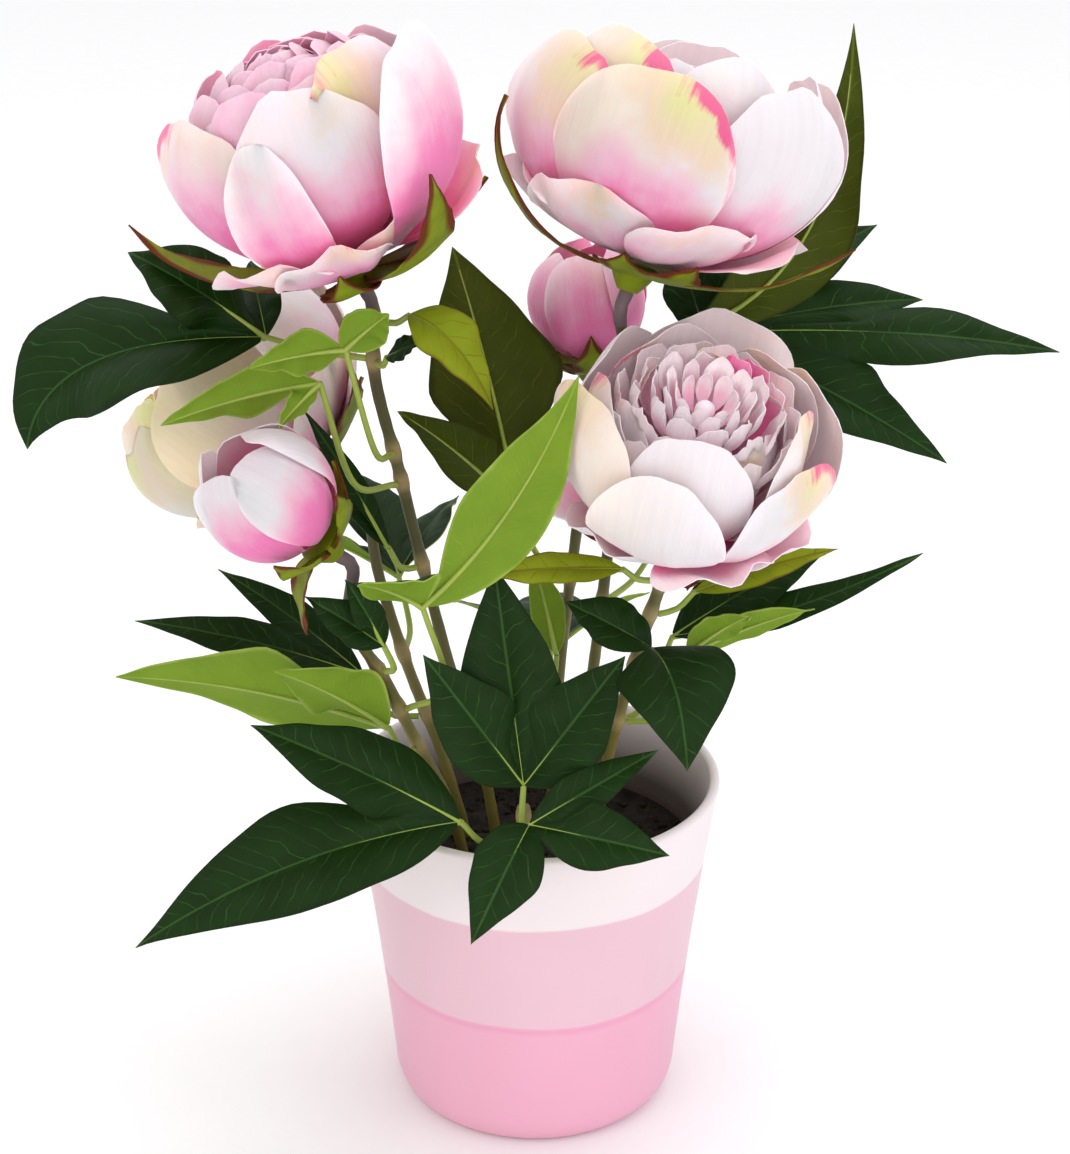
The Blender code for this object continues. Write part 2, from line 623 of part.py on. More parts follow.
def make_bloom(group, name, key, head, look):
    """Core and petals of one bloom or bud, fused"""
    core_mesh = bpy.data.meshes.new(name)
    shape = bmesh.new()
    wide, tall, middle = head.core
    size = Matrix.Diagonal((wide, wide, tall, 1))
    bmesh.ops.create_uvsphere(shape, u_segments=CORE_SEGMENTS, v_segments=CORE_RINGS, radius=1,
                              matrix=Matrix.Translation((0, 0, middle)) @ size)
    bmesh.ops.triangulate(shape, faces=shape.faces)
    shape.to_mesh(core_mesh)
    shape.free()
    core = place(group, name, core_mesh)
    chance = random.Random(head.seed)
    petals = []
    for level, ring in enumerate(head.rings):
        for n in range(ring.count):
            form, draw = own_form((key, level, n), ring.petal, petal_draw(chance))
            under = head.under if ring is GUARD else 0
            turn = math.radians(under + ring.turn + ring.step * n) + draw.turn
            petals.append(make_petal(group, f"{name}_{level}_{n}", form, draw, turn,
                                     ring.rows, ring.columns, PETAL_THICKNESS / head.scale))
    fuse(core, petals)
    core.data.transform(head_frame(head))
    core.data.materials.append(look)
    core.data.shade_smooth()


def make_calyx(group, name, head, look):
    """The green cup under a bloom, with its sepals"""
    shape = bmesh.new()
    top = -CLEARANCE / head.scale
    middle = (top - CUP_DEPTH) / 2
    bmesh.ops.create_cone(shape, cap_ends=True, segments=8, radius1=CUP_NECK_RADIUS,
                          radius2=CUP_RADIUS, depth=CUP_DEPTH + top,
                          matrix=Matrix.Translation((0, 0, middle)))
    mesh = bpy.data.meshes.new(name)
    shape.to_mesh(mesh)
    shape.free()
    cup = place(group, name, mesh)
    still = Draw(0, 1, 0, 0)
    sepals = []
    for n, (turn, length, width, rise) in enumerate(head.sepals):
        blade = petal(length, width, *SEPAL_FOOT, rise, SEPAL_CUP, pointed=True)
        sepals.append(make_petal(group, f"{name}_{n}", blade, still,
                                 math.radians(head.under + turn), 3, 1,
                                 SEPAL_THICKNESS / head.scale))
    fuse(cup, sepals)
    cup.data.transform(head_frame(head))
    cup.data.materials.append(look)


def lobe_rib(base, lobe, up, part):
    """Place and direction on a lobe's middle rib"""
    tip = Vector(lobe.tip)
    bend = (base + tip) / 2 + up * lobe.arch * (tip - base).length
    if lobe.via:
        bend = Vector(lobe.via)
    spot = base * (1 - part) ** 2 + bend * 2 * part * (1 - part) + tip * part**2
    return spot, ((bend - base) * (1 - part) + (tip - bend) * part).normalized()


def lobe_edge(base, lobe, up, part, side):
    """Place on a free edge of a lobe: side is -1 for its left and 1 for its right"""
    spot, forward = lobe_rib(base, lobe, up, part)
    right = forward.cross(up).normalized()
    above = right.cross(forward)
    half = lobe.width / 2 * blade_breadth(part)
    lift = LEAF_FOLD + LEAF_WAVE * math.sin(2 * math.pi * (1.4 * part + 0.25 * side))
    return spot + right * (half * side) + above * (half * lift)


def bearing(base, lobe, up, ahead):
    way = Vector(lobe.tip) - base
    return math.atan2(way.dot(ahead.cross(up)), way.dot(ahead))


def leaf_rows(leaf, rows):
    """For each lobe, rows of its left edge, rib and right edge"""
    base, up = Vector(leaf.base), Vector(leaf.up).normalized()
    ahead = sum((Vector(lobe.tip) - base for lobe in leaf.lobes), Vector())
    ahead = (ahead - up * ahead.dot(up)).normalized()
    lobes = sorted(leaf.lobes, key=lambda lobe: bearing(base, lobe, up, ahead))
    table = []
    for lobe in lobes:
        parts = [(n / rows) ** LEAF_ROW_BIAS for n in range(rows + 1)]
        table.append([[lobe_edge(base, lobe, up, part, -1), lobe_rib(base, lobe, up, part)[0],
                       lobe_edge(base, lobe, up, part, 1)] for part in parts])
    for left, right in zip(table, table[1:]):
        for n in range(rows + 1):
            if (n / rows) ** LEAF_ROW_BIAS <= leaf.fused:
                middle = (left[n][1] + right[n][1]) / 2
                left[n][2] = right[n][0] = middle
    return table


def leaf_blade(group, name, leaf):
    corners, faces = [], []
    for rows in leaf_rows(leaf, LEAF_ROWS):
        first = len(corners)
        corners += [corner for row in rows for corner in row]
        faces += [tuple(first + n for n in face) for face in grid_faces(LEAF_ROWS, 2)]
    return sheet(group, name, corners, faces, LEAF_THICKNESS)


def height_on(path, height):
    """Place and direction of a stem where it passes a height"""
    for start, end in zip(path, path[1:]):
        if end.z >= height:
            part = (height - start.z) / (end.z - start.z)
            return start.lerp(end, part), (end - start).normalized()
    return path[-1], (path[-1] - path[-2]).normalized()


def stalk_path(leaf, path):
    """From just outside the stem to just under the start of the blade"""
    spot, along = height_on(path, leaf.root)
    base = Vector(leaf.base)
    out = base - spot
    out = (out - along * out.dot(along)).normalized()
    steep = abs((base - spot).normalized().dot(along))
    start = spot + out * (STEM_RADIUS + CLEARANCE + STALK_RADIUS * steep)
    run = base - start
    bend = start + (out * run.length + run) / 4
    ahead = sum((Vector(lobe.tip) - base for lobe in leaf.lobes), Vector()).normalized()
    return smooth_path([start, bend, base, base + ahead * STALK_TUCK])


def make_leaf(group, name, leaf, path, look):
    blade = leaf_blade(group, name, leaf)
    stalk = tube_mesh(group, name + "_stalk", stalk_path(leaf, path), STALK_RADIUS,
                      STALK_ROUNDNESS)
    fuse(blade, [stalk])
    blade.data.materials.append(look)


def main():
    clear_scene()
    parts = collection("potted_peony")
    holes = collection("cutters")
    make_pot(parts)
    paths = make_stems(parts, holes)
    make_soil(parts, holes)
    petal_look = material("petals", PETAL_COLOUR, 0.6)
    calyx_look = material("calyx", CALYX_COLOUR, 0.6)
    leaf_look = material("leaf", LEAF_COLOUR, 0.45)
    bract_look = material("bract", BRACT_COLOUR, 0.5)
    for name, head in HEADS.items():
        kind = "bud" if head.rings is BUD_RINGS else "bloom"
        make_bloom(parts, f"{kind}_{name}", name, head, petal_look)
        make_calyx(parts, "calyx_" + name, head, calyx_look)
    for name, leaf in LEAVES.items():
        look = bract_look if "bract" in name else leaf_look
        make_leaf(parts, name, leaf, paths[leaf.stem], look)


main()
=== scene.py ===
"""The looks of a potted peony: printed fabric blooms and leaves on moulded stems in a glazed pot.

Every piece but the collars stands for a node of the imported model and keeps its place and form.
Lengths are in metres and angles in degrees, +Z is up, the origin is the middle of the pot's foot,
and the plant faces -Y.
"""

import math
import random
from collections import namedtuple

import bmesh
import bpy
from mathutils import Matrix, Vector, noise


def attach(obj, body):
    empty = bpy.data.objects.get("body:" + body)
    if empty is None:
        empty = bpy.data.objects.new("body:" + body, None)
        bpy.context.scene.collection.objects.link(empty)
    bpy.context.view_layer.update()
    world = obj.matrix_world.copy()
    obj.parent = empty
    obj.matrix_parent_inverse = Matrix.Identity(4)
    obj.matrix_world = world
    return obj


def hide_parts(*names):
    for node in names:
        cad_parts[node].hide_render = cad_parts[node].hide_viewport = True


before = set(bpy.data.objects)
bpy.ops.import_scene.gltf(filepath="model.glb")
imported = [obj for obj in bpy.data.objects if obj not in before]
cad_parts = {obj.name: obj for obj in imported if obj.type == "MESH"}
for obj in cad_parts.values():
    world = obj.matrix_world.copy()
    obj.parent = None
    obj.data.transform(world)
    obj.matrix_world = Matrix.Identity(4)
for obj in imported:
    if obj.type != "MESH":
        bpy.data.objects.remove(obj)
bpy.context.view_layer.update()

# Camera, floor and light
CAMERA_PLACE = (0, -0.85, 0.567)
CAMERA_TILT = 67.2
LENS = 79.46
FLOOR_HALF = 5.0
SKY_STRENGTH = 1.02
PLANT_MIDDLE = (0, 0, 0.22)
BLOOM_FRONT = (0, 0, 0.3)

# The pot and the soil, as in the solids
POT_HEIGHT = 0.131
POT_FOOT_RADIUS = 0.0529
POT_TAPER = 0.0885
POT_FLARE = 0.265
POT_WALL = 0.0038
POT_FLOOR = 0.006
POT_FOOT_HEIGHT = 0.014
POT_FOOT_INSET = 0.009
SOIL_BELOW_RIM = 0.031
SOIL_MOUND = 0.003
CLEARANCE = 0.0003

# The pot's hollow, from under its lip to its rounded corner, and how finely the pot is turned
HOLLOW_TOP = 0.126
HOLLOW_LOW = 0.020
HOLLOW_STEPS = 12
HOLLOW_CORNER_STEPS = 8
LIP_STEPS = 16
WALL_STEPS = 28
FOOT_STEPS = 10
POT_SIDES = 144

# Heights where two dips of glaze end, how far each edge is blurred, and the depths under the rim
# between which the inside wall is darkened with painted shade
BAND_LOW = 0.0555
BAND_HIGH = 0.1000
BAND_LOW_BLUR = 0.0006
BAND_HIGH_BLUR = 0.0008
INSIDE_SHADE_DEPTHS = (0.002, 0.026)

# Lumps and loose crumbs of the soil
SOIL_RINGS = 26
SOIL_LUMP = 0.0016
CRUMBS = 420
CRUMB_SIZES = (0.0007, 0.0021)
CRUMB_SEED = 41

# Stems, stalks, ribs and collars
STEM_RADIUS = 0.0021
STALK_RADIUS = 0.0011
STEM_SIDES = 14
STALK_SIDES = 8
PATH_STEP = 0.003
STRAIGHT_NECK = 0.008
KNOT_REACH = 0.0035
KNOT_SWELL = 0.38
COLLAR_LENGTH = 0.013
RIB_STEPS = 16
RIB_END = 0.9

# Fabric, thinner than in the solids
PETAL_THICKNESS = 0.0003
LEAF_THICKNESS = 0.0005
SEPAL_THICKNESS = 0.0006
WELD = 0.00002
SEAM_ANGLE = math.radians(50)

# Leaves, sepals and stems are laid out flat in tenths of a metre, for the patterns on them
FLAT_UNITS = 10

# The calyx's cup and sepals
CUP_RADIUS = 0.0085
CUP_NECK_RADIUS = 0.0038
CUP_DEPTH = 0.010
CUP_SHOULDER = 0.0004
CUP_STEPS = 8
CUP_SIDES = 32
SEPAL_FOOT = (0.004, -0.0025)
SEPAL_CUP = 0.045
SEPAL_ROWS = 22
SEPAL_COLUMNS = 10

# Petals' middle lines, and the leaves: rows closer at the foot, fold, wave and puff of the blade
MIDLINE_STEPS = 12
LEAF_ROWS = 34
LEAF_COLUMNS = 6
LEAF_ROW_BIAS = 1.15
LEAF_FOLD = 0.16
LEAF_WAVE = 0.10
LEAF_PUFF = 0.10

Petal = namedtuple("Petal", "length width start height rise cup tip pointed",
                   defaults=(0.62, False))
Ring = namedtuple("Ring", "count petal turn step rows columns ruffle notch", defaults=(0.0, 0.0))
Head = namedtuple("Head", "base towards twist under scale seed rings core sepals")
Leaf = namedtuple("Leaf", "stem root base up lobes fused", defaults=(0.21,))
Lobe = namedtuple("Lobe", "tip width arch via", defaults=(0.10, None))
Draw = namedtuple("Draw", "lean size turn tilt roll fold", defaults=(0.0, 0.0))
Tint = namedtuple("Tint", "blush reach cream lime brush side")

# Rings of petals at full size, from the outside in. A rise of 0 points outward, 90 points up.
GUARD = Ring(6, Petal(0.056, 0.050, 0.005, 0.0028, (-3, 25, 54), 0.075), 0, 60, 20, 18, 0.0024)
OUTER = Ring(6, Petal(0.099, 0.070, 0.006, 0.0045, (2, 57, 155), 0.053), 28, 60, 28, 24, 0.0011)
INNER = Ring(5, Petal(0.092, 0.064, 0.006, 0.0078, (8, 62, 150), 0.046), 60, 72, 26, 18, 0.0011)
HEART = (
    Ring(9, Petal(0.046, 0.028, 0.012, 0.0330, (34, 80, 172), 0.014), 10, 40, 16, 12, 0.0005),
    Ring(8, Petal(0.038, 0.024, 0.009, 0.0400, (42, 84, 172), 0.012), 30, 45, 14, 10, 0.0004),
    Ring(6, Petal(0.031, 0.020, 0.005, 0.0450, (52, 88, 172), 0.010), 5, 60, 12, 10, 0.0003),
    Ring(4, Petal(0.024, 0.016, 0.002, 0.0480, (62, 90, 168), 0.008), 20, 90, 10, 8, 0.0002),
)
HIGH_HEART = (
    Ring(9, Petal(0.052, 0.032, 0.015, 0.0350, (36, 80, 168), 0.016), 10, 40, 16, 12, 0.0006),
    Ring(8, Petal(0.043, 0.028, 0.011, 0.0430, (42, 84, 168), 0.014), 30, 45, 14, 10, 0.0005),
    Ring(6, Petal(0.036, 0.024, 0.006, 0.0490, (50, 88, 168), 0.012), 5, 60, 12, 10, 0.0004),
    Ring(4, Petal(0.028, 0.020, 0.002, 0.0530, (58, 90, 160), 0.010), 20, 90, 10, 8, 0.0003),
)
BLOOM_RINGS = (
    GUARD, OUTER, INNER,
    Ring(6, Petal(0.076, 0.044, 0.007, 0.0120, (20, 70, 145), 0.034), 24, 60, 24, 14, 0.0010),
    *HEART,
)
DOMED_BLOOM_RINGS = (
    GUARD, OUTER, INNER,
    Ring(8, Petal(0.072, 0.042, 0.012, 0.0190, (22, 72, 152), 0.026), 14, 45, 24, 14, 0.0010),
    *HIGH_HEART,
)
OPEN_HEART = (
    Ring(11, Petal(0.040, 0.025, 0.022, 0.0360, (36, 66, 112), 0.018), 10, 33, 16, 14, 0.0009, 0.02),
    Ring(11, Petal(0.034, 0.020, 0.018, 0.0460, (40, 68, 118), 0.013), 25, 33, 16, 14, 0.0009, 0.05),
    Ring(10, Petal(0.030, 0.014, 0.013, 0.0520, (44, 70, 116), 0.008), 5, 36, 14, 12, 0.0007, 0.05),
    Ring(9, Petal(0.026, 0.0100, 0.009, 0.0560, (46, 70, 112), 0.005), 20, 40, 14, 10, 0.0005, 0.02),
    Ring(9, Petal(0.020, 0.0085, 0.005, 0.0600, (36, 64, 126), 0.0045), 0, 40, 14, 8),
)
OPEN_BLOOM_RINGS = (
    GUARD,
    Ring(6, Petal(0.097, 0.070, 0.006, 0.0045, (3, 57, 130), 0.053), 28, 60, 28, 24, 0.0011),
    Ring(5, Petal(0.088, 0.062, 0.006, 0.0078, (10, 63, 128), 0.046), 60, 72, 26, 18, 0.0011),
    Ring(6, Petal(0.072, 0.044, 0.007, 0.0120, (22, 72, 120), 0.037), 24, 60, 24, 18, 0.0010, 0.03),
    *OPEN_HEART,
)
BUD_RINGS = (
    Ring(5, Petal(0.062, 0.040, 0.004, 0.0020, (12, 84, 160), 0.021), 0, 72, 26, 18, 0.0007),
)
BLOOM_CORE = (0.024, 0.0225, 0.023)
BUD_CORE = (0.0165, 0.0195, 0.0195)
CORE_SHARE = 0.9
HEART_BALL = 0.0042
HEART_BALL_HEIGHT = 0.066

# Each sepal: degrees round the cup, length, width and rise.
WIDE_SEPALS = (
    (18, 0.048, 0.024, (-6, 16, 28)),
    (90, 0.038, 0.022, (-6, 15, 22)),
    (160, 0.044, 0.022, (-6, 16, 26)),
    (232, 0.040, 0.024, (-6, 15, 24)),
    (294, 0.046, 0.024, (-7, 15, 40)),
)
SPREAD_SEPALS = (
    (-12, 0.054, 0.016, (-6, 22, 42)),
    (90, 0.040, 0.022, (-6, 15, 22)),
    (158, 0.084, 0.018, (-6, 26, 64)),
    (257, 0.036, 0.024, (-8, 12, 88)),
    (302, 0.076, 0.027, (-6, 32, 88)),
)
HUGGING_SEPALS = (
    (24, 0.030, 0.026, (-8, 12, 38)),
    (66, 0.036, 0.028, (-8, 14, 44)),
    (112, 0.078, 0.018, (-6, 24, 52)),
    (200, 0.044, 0.022, (-6, 16, 26)),
    (324, 0.086, 0.015, (-4, 34, 100)),
)
LOOSE_SEPALS = (
    (22, 0.030, 0.017, (-4, 44, 76)),
    (84, 0.028, 0.016, (-4, 42, 70)),
    (152, 0.044, 0.020, (-4, 50, 60)),
    (250, 0.034, 0.016, (-14, -40, -70)),
    (304, 0.032, 0.018, (-4, 40, 66)),
)
BUD_SEPALS = (
    (0, 0.032, 0.017, (-4, 48, 86)),
    (75, 0.026, 0.015, (-4, 42, 70)),
    (150, 0.030, 0.016, (-4, 46, 80)),
    (222, 0.024, 0.015, (-4, 38, 60)),
    (292, 0.030, 0.016, (-4, 46, 76)),
)

# Blooms and buds: foot, a point on the axis, the petals' turn in degrees, how much further the
# calyx and the outermost petals are turned, scale, seed of the draws, and what they are made of.
HEADS = {
    "a": Head((-0.060, -0.025, 0.334), (-0.0735, -0.029, 0.376), 130, -45, 0.96, 11,
              DOMED_BLOOM_RINGS, BLOOM_CORE, SPREAD_SEPALS),
    "b": Head((0.034, -0.015, 0.331), (0.047, -0.007, 0.374), 116, -5, 0.96, 12,
              BLOOM_RINGS, BLOOM_CORE, HUGGING_SEPALS),
    "c": Head((0.049, -0.040, 0.246), (0.055, -0.061, 0.292), 37, -12, 0.82, 13,
              OPEN_BLOOM_RINGS, BLOOM_CORE, WIDE_SEPALS),
    "d": Head((-0.079, 0.036, 0.243), (-0.114, 0.042, 0.269), 50, 0, 0.90, 14,
              BLOOM_RINGS, BLOOM_CORE, WIDE_SEPALS),
    "e": Head((-0.073, -0.055, 0.247), (-0.091, -0.062, 0.268), 20, 0, 0.94, 15,
              BUD_RINGS, BUD_CORE, LOOSE_SEPALS),
    "f": Head((0.022, 0.060, 0.272), (0.020, 0.060, 0.292), 0, 0, 0.92, 16,
              BUD_RINGS, BUD_CORE, BUD_SEPALS),
}

# Petals that lie otherwise than the rest of their ring, by bloom, ring and number: width, degrees
# of turn and of tilt, length, and rise.
OWN_PETALS = {
    ("a", 0, 3): (0.95, 40, 8, 0.94, (-4, 24, 56)),
    ("a", 0, 4): (0.85, 17, 8, 0.92, (-4, 25, 58)),
    ("a", 0, 5): (0.90, 4, 8, 0.86, (-2, 34, 66)),
    ("a", 1, 0): (0.90, 0, 8, 0.86, (4, 60, 150)),
    ("a", 1, 1): (0.90, 0, 8, 0.76, (6, 60, 150)),
    ("a", 1, 2): (1.04, 8, 8, 0.95, (8, 63, 134)),
    ("a", 1, 3): (0.44, -8, 4, 0.90, (2, 54, 130)),
    ("a", 1, 4): (0.96, 11, 2, 1.06, (4, 60, 132)),
    ("a", 1, 5): (0.80, 8, 8, 0.90, (6, 66, 150)),
    ("a", 2, 0): (0.90, 0, 8, 0.84, (10, 64, 150)),
    ("a", 2, 1): (0.84, 40, 8, 0.86, (12, 66, 140)),
    ("a", 2, 2): (0.88, 18, 6, 1.00, (10, 64, 140)),
    ("a", 2, 3): (0.84, -16, -4, 1.00, (18, 70, 140)),
    ("b", 1, 0): (0.98, -11, 0, 1.00, (2, 54, 148)),
    ("b", 1, 1): (0.98, -10, -6, 1.04, (4, 58, 142)),
    ("b", 1, 2): (0.98, -4, 8, 1.08, (2, 60, 138)),
    ("b", 1, 3): (1.00, 0, 8, 1.10, (2, 60, 132)),
    ("b", 1, 5): (1.00, 0, 8, 1.03, (2, 56, 148)),
    ("b", 2, 0): (0.94, -4, 8, 1.00, (14, 68, 140)),
    ("b", 2, 1): (1.00, -4, 8, 1.06, (10, 64, 138)),
    ("b", 2, 2): (1.00, 0, 8, 1.08, (10, 64, 134)),
    ("b", 2, 4): (1.00, 0, 8, 1.02, (12, 66, 146)),
    ("c", 0, 2): (0.80, 16, 8, 1.20, (-8, 12, 20)),
    ("c", 0, 4): (1.00, 6, 8, 1.00, (-2, 26, 50)),
    ("c", 1, 0): (1.00, 0, 8, 1.06, (3, 57, 130)),
    ("c", 1, 2): (0.95, 4, 8, 1.14, (6, 62, 132)),
    ("c", 1, 3): (0.82, -9, 6, 1.06, (2, 55, 130)),
    ("c", 1, 4): (0.82, -5, -4, 0.98, (2, 56, 128)),
    ("c", 2, 2): (0.90, 5, 4, 1.16, (14, 68, 126)),
    ("c", 2, 3): (0.90, 2, 8, 1.08, (14, 67, 128)),
}

# Routes of the stems, from the soil up. A stem that bears a bloom goes on to its cup.
STEMS = {
    "a": ((-0.010, -0.002, 0.055), (-0.014, -0.003, 0.100), (-0.020, -0.005, 0.138),
          (-0.031, 0.000, 0.173), (-0.040, -0.002, 0.213), (-0.048, -0.008, 0.254),
          (-0.055, -0.015, 0.290)),
    "b": ((0.009, 0.004, 0.055), (0.012, 0.005, 0.100), (0.014, 0.005, 0.125),
          (0.020, 0.008, 0.157), (0.025, 0.008, 0.201), (0.028, 0.004, 0.238),
          (0.031, -0.008, 0.290)),
    "c": ((0.017, -0.006, 0.055), (0.022, -0.008, 0.100), (0.026, -0.010, 0.137),
          (0.034, -0.020, 0.178), (0.041, -0.030, 0.210)),
    "d": ((-0.018, 0.006, 0.055), (-0.026, 0.006, 0.100), (-0.036, 0.008, 0.137),
          (-0.048, 0.016, 0.168), (-0.058, 0.024, 0.200), (-0.062, 0.031, 0.224)),
    "e": ((-0.017, -0.014, 0.055), (-0.025, -0.020, 0.100), (-0.032, -0.025, 0.132),
          (-0.044, -0.028, 0.160), (-0.053, -0.035, 0.185), (-0.064, -0.045, 0.212)),
    "f": ((0.004, 0.015, 0.055), (0.006, 0.018, 0.100), (0.009, 0.022, 0.159),
          (0.015, 0.040, 0.206), (0.020, 0.056, 0.240)),
    "g": ((-0.002, -0.028, 0.055), (-0.003, -0.040, 0.100), (-0.004, -0.050, 0.130),
          (-0.004, -0.053, 0.144)),
}

# Leaves: the stem and height they grow from, where the blade starts, which way its dark face
# looks, the tips and widths of its lobes, and how far along the lobes are joined.
LEAVES = {
    "leaf_upper_left": Leaf("a", 0.298, (-0.092, -0.015, 0.305), (-0.1, -0.5, 0.85), (
        Lobe((-0.138, -0.012, 0.334), 0.034),
        Lobe((-0.174, -0.028, 0.269), 0.056, via=(-0.170, -0.014, 0.306)),
        Lobe((-0.100, 0.020, 0.322), 0.016))),
    "leaf_light_upper": Leaf("a", 0.262, (-0.063, -0.041, 0.309), (0.1, 0.9, 0.4), (
        Lobe((-0.094, -0.053, 0.306), 0.020),
        Lobe((-0.048, -0.044, 0.322), 0.018))),
    "leaf_light_lower": Leaf("a", 0.250, (-0.072, -0.040, 0.297), (-0.1, 0.9, 0.4), (
        Lobe((-0.126, -0.041, 0.282), 0.020),
        Lobe((-0.086, -0.052, 0.284), 0.010))),
    "leaf_small_upper": Leaf("a", 0.298, (-0.050, -0.028, 0.302), (0.2, -0.7, 0.7), (
        Lobe((-0.036, -0.042, 0.312), 0.010),)),
    "leaf_bract": Leaf("a", 0.314, (-0.042, -0.032, 0.318), (0.3, -0.7, 0.6), (
        Lobe((-0.014, -0.042, 0.288), 0.020, via=(-0.026, -0.046, 0.318)),)),
    "leaf_narrow_left": Leaf("a", 0.216, (-0.052, -0.012, 0.226), (0.3, -0.8, 0.5), (
        Lobe((-0.081, -0.013, 0.279), 0.009),
        Lobe((-0.078, 0.000, 0.256), 0.009))),
    "leaf_mid_left": Leaf("e", 0.190, (-0.052, -0.052, 0.206), (0.3, -0.8, 0.5), (
        Lobe((-0.078, -0.056, 0.226), 0.015),
        Lobe((-0.064, -0.060, 0.234), 0.012))),
    "leaf_back_centre": Leaf("f", 0.196, (-0.006, 0.026, 0.226), (0.1, 0.8, 0.55), (
        Lobe((-0.030, 0.046, 0.320), 0.054),
        Lobe((0.022, 0.034, 0.268), 0.026),
        Lobe((-0.050, 0.026, 0.264), 0.030))),
    "leaf_folded_front": Leaf("e", 0.172, (-0.038, -0.060, 0.224), (0.3, 0.8, 0.5), (
        Lobe((0.014, -0.083, 0.314), 0.030, via=(-0.004, -0.078, 0.262)),
        Lobe((-0.058, -0.079, 0.240), 0.030))),
    "leaf_light_left": Leaf("e", 0.156, (-0.052, -0.038, 0.168), (-0.1, 0.85, 0.5), (
        Lobe((-0.150, -0.024, 0.181), 0.044),
        Lobe((-0.090, -0.054, 0.197), 0.030))),
    "leaf_dark_left": Leaf("d", 0.150, (-0.064, 0.010, 0.166), (0.0, -0.5, 0.86), (
        Lobe((-0.148, 0.012, 0.187), 0.019),
        Lobe((-0.120, 0.040, 0.196), 0.016))),
    "leaf_lower_left": Leaf("g", 0.128, (-0.026, -0.062, 0.143), (-0.1, -0.6, 0.8), (
        Lobe((-0.099, -0.053, 0.176), 0.030),
        Lobe((-0.140, -0.077, 0.101), 0.042, via=(-0.086, -0.074, 0.140)))),
    "leaf_over_rim": Leaf("g", 0.134, (-0.002, -0.074, 0.148), (0.1, -0.8, 0.6), (
        Lobe((-0.022, -0.093, 0.112), 0.025, via=(-0.010, -0.094, 0.142)),
        Lobe((0.046, -0.083, 0.141), 0.024),
        Lobe((0.043, -0.056, 0.168), 0.015))),
    "leaf_centre": Leaf("g", 0.140, (-0.004, -0.056, 0.154), (0.0, -0.85, 0.5), (
        Lobe((-0.038, -0.064, 0.208), 0.030),
        Lobe((-0.014, -0.046, 0.234), 0.036),
        Lobe((0.031, -0.056, 0.204), 0.030))),
    "leaf_right_droop": Leaf("c", 0.186, (0.040, -0.050, 0.204), (0.2, -0.7, 0.7), (
        Lobe((0.051, -0.088, 0.176), 0.042, via=(0.049, -0.078, 0.208)),
        Lobe((0.010, -0.044, 0.219), 0.020))),
    "leaf_right_low": Leaf("b", 0.150, (0.050, -0.004, 0.188), (0.1, -0.5, 0.85), (
        Lobe((0.106, 0.004, 0.219), 0.026),
        Lobe((0.138, -0.012, 0.224), 0.014, via=(0.094, -0.016, 0.200)))),
    "leaf_right_light": Leaf("c", 0.160, (0.054, -0.028, 0.192), (0.1, 0.9, 0.4), (
        Lobe((0.075, -0.044, 0.214), 0.014),
        Lobe((0.098, -0.032, 0.211), 0.013))),
    "leaf_right_large": Leaf("b", 0.278, (0.061, 0.028, 0.293), (0.0, -0.6, 0.8), (
        Lobe((0.187, 0.018, 0.289), 0.034),
        Lobe((0.140, 0.036, 0.303), 0.030),
        Lobe((0.124, 0.050, 0.327), 0.030),
        Lobe((0.147, 0.004, 0.252), 0.036),
        Lobe((0.050, 0.040, 0.322), 0.022)), 0.46),
    "leaf_beside_bloom": Leaf("b", 0.290, (0.056, 0.017, 0.298), (0.5, 0.6, 0.6), (
        Lobe((0.107, 0.010, 0.407), 0.032, via=(0.111, 0.024, 0.316)),)),
    "bract_left": Leaf("c", 0.222, (0.030, -0.046, 0.232), (-0.1, -0.7, 0.7), (
        Lobe((-0.021, -0.062, 0.236), 0.012),)),
    "bract_right": Leaf("c", 0.208, (0.056, -0.028, 0.216), (0.1, -0.7, 0.7), (
        Lobe((0.104, -0.040, 0.237), 0.012),)),
    "leaf_small_centre": Leaf("b", 0.150, (0.008, 0.006, 0.176), (0.0, 0.9, 0.4), (
        Lobe((-0.001, 0.016, 0.212), 0.013),)),
    "leaf_back_left": Leaf("d", 0.172, (-0.052, 0.044, 0.192), (-0.1, 0.5, 0.85), (
        Lobe((-0.104, 0.064, 0.206), 0.024),
        Lobe((-0.072, 0.098, 0.214), 0.030),
        Lobe((-0.030, 0.092, 0.206), 0.024))),
    "leaf_back_right": Leaf("b", 0.196, (0.048, 0.034, 0.214), (0.1, 0.5, 0.85), (
        Lobe((0.106, 0.040, 0.230), 0.026),
        Lobe((0.094, 0.086, 0.238), 0.032),
        Lobe((0.050, 0.094, 0.230), 0.024))),
    "leaf_back_low": Leaf("f", 0.142, (0.006, 0.050, 0.158), (0.0, 0.6, 0.8), (
        Lobe((-0.034, 0.094, 0.160), 0.024),
        Lobe((0.004, 0.112, 0.156), 0.034),
        Lobe((0.046, 0.088, 0.166), 0.024))),
}

